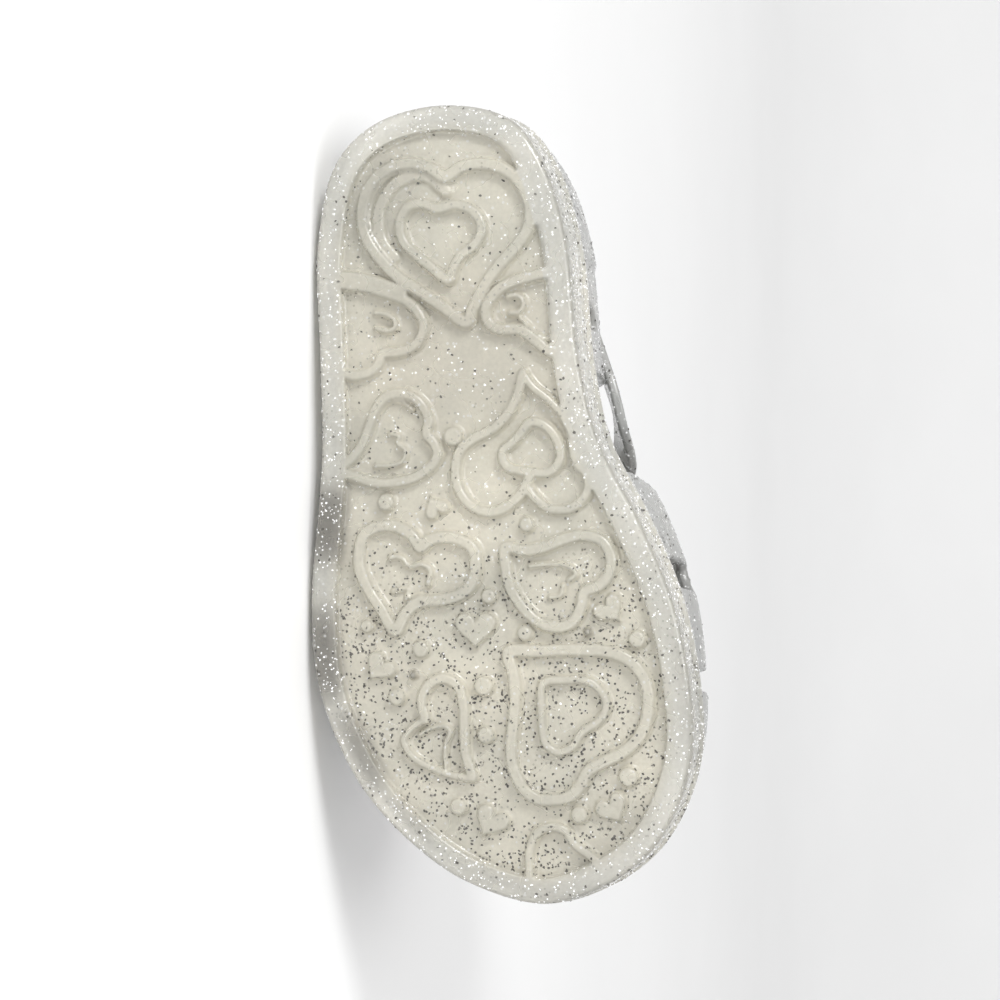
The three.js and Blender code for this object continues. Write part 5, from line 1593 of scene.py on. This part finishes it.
def footbed_plastic():
    m = Nodes("footbed_plastic")
    base = m.ramp(m.noise(60, 4), [(0.3, (0.72, 0.72, 0.69)), (0.7, (0.79, 0.785, 0.75))])
    # Painted glints: pale specks where glitter would catch the light.
    painted_sparkle = m.specks(1300, 0.24, 0.12)
    base = m.mix(m.math("MULTIPLY", painted_sparkle, 0.7), base, (0.95, 0.96, 0.97))
    m.link(base, m.shader.inputs["Base Color"])
    m.shader.inputs["Roughness"].default_value = 0.42
    m.shader.inputs["Coat Weight"].default_value = 0.15
    m.link(m.bump(m.noise(700, 3), 0.4, 0.0003), m.shader.inputs["Normal"])
    return m.material


def floor_paint():
    m = Nodes("floor_paint")
    colour = m.ramp(m.noise(8, 3), [(0.3, (0.90, 0.90, 0.90)), (0.7, (0.93, 0.93, 0.93))])
    m.link(colour, m.shader.inputs["Base Color"])
    m.shader.inputs["Roughness"].default_value = 0.55
    return m.material


def give(made, material):
    made.data.materials.clear()
    made.data.materials.append(material)


# Stage

FLOOR_HALF = 1.6
SWEEP_AT = 0.55
SWEEP_RADIUS = 0.45


def backdrop():
    """A pale floor that curves up behind the shoe."""
    profile = [(-FLOOR_HALF, 0.0), (SWEEP_AT, 0.0)]
    for k in range(1, 17):
        turn = pi / 2 * k / 16
        profile.append((SWEEP_AT + SWEEP_RADIUS * sin(turn), SWEEP_RADIUS * (1 - cos(turn))))
    profile.append((SWEEP_AT + SWEEP_RADIUS, FLOOR_HALF))
    points = [(x, y, z) for y, z in profile for x in (-FLOOR_HALF, FLOOR_HALF)]
    faces = [(2 * k, 2 * k + 1, 2 * k + 3, 2 * k + 2) for k in range(len(profile) - 1)]
    made = mesh_object("pale_floor", points, faces)
    give(made, floor_paint())


def area_light(name, place, aim, size, energy):
    data = bpy.data.lights.new(name, "AREA")
    data.shape = "DISK"
    data.size = size
    data.energy = energy
    light = bpy.data.objects.new(name, data)
    light.location = place
    light.rotation_euler = (Vector(aim) - Vector(place)).to_track_quat("-Z", "Y").to_euler()
    bpy.context.collection.objects.link(light)


def lights():
    world = bpy.data.worlds.new("soft_room")
    world.use_nodes = True
    world.node_tree.nodes["Background"].inputs["Color"].default_value = (1, 1, 1, 1)
    world.node_tree.nodes["Background"].inputs["Strength"].default_value = 0.62
    bpy.context.scene.world = world
    area_light("key", (-0.6, -0.6, 0.45), (0, 0, 0.03), 0.25, 5.5)
    area_light("fill", (0.5, -0.9, 0.25), (0, 0, 0.03), 0.8, 3)
    area_light("top", (-0.15, -0.45, 0.8), (0, 0, 0.03), 0.5, 2.5)
    bpy.context.scene.view_settings.view_transform = "Standard"


# Building

camera()
backdrop()
lights()

sole_clear = clear_plastic("sole_clear", RECESS_TONE, RIDGE_TONE, RIM_TONE, CLEARNESS)
upper_clear = clear_plastic("upper_clear", UPPER_TONE, UPPER_TONE, UPPER_TONE, CLEARNESS)


def keep(made, material, node=None):
    give(made, material)
    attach(made, "root")
    if node:
        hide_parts(node)
    return made


sole = keep(outsole(), sole_clear, "outsole")
keep(insole(), footbed_plastic(), "insole")
cage = keep(upper(), upper_clear, "upper")
ankle = keep(ankle_strap(), upper_clear)
steel = chrome()
keep(buckle_frame(), steel, "buckle_frame")
keep(buckle_prong(), steel, "buckle_prong")
pink = pink_plastic()
keep(bow_loops(), pink, "bow_loops")
keep(bow_knot(), pink, "bow_knot")


def clusters(x, y):
    """A soft uneven share from 0 to 1, by which flakes gather."""
    waves = np.sin(x * 0.55 + 2.1 * np.sin(y * 0.31)) * np.sin(y * 0.62 + 1.7 * np.sin(x * 0.27))
    return 0.5 + 0.5 * waves


recess_sides = Sides(RIM_WIDTH)


def sole_glitter(places):
    """Under the ball most flakes lie in the recess and are painted dark, a painted reflection; elsewhere they are
    fewer and painted bright, as painted glints.
    """
    own = (places / MM - MOVED) @ TURN
    x, y, z = own.T
    ground = z < under(x) + TREAD_DEPTH + 0.4
    depth = np.clip((z - under(x)) / TREAD_DEPTH, 0, 1)
    inside = ground & (y < recess_sides.lateral(x)) & (y > recess_sides.medial(x))
    ball = np.clip((x / LENGTH - 0.5) / 0.14, 0, 1)
    gathered = 0.3 + 0.9 * clusters(x, y)
    chance = np.where(inside, (0.08 + 0.5 * depth) * (0.3 + 0.7 * ball) * gathered, 0.4)
    chance = np.where(ground, chance, 1)
    chance = np.where(z > sole_top(x) - 0.05, 0, chance)
    darkness = np.where(inside, 0.25 + 0.65 * ball, 0.1)
    return np.clip(chance, 0, 1), darkness


def upper_glitter(places):
    return np.full(len(places), 0.9), np.full(len(places), 0.15)


SOLE_FLAKES = 40000
UPPER_FLAKES = 18000
STRAP_FLAKES = 1500

silver = flake_metal()
keep(glitter("sole_glitter", sole, SOLE_FLAKES, sole_glitter, 1), silver)
keep(glitter("upper_glitter", cage, UPPER_FLAKES, upper_glitter, 2), silver)
keep(glitter("strap_glitter", ankle, STRAP_FLAKES, upper_glitter, 3), silver)
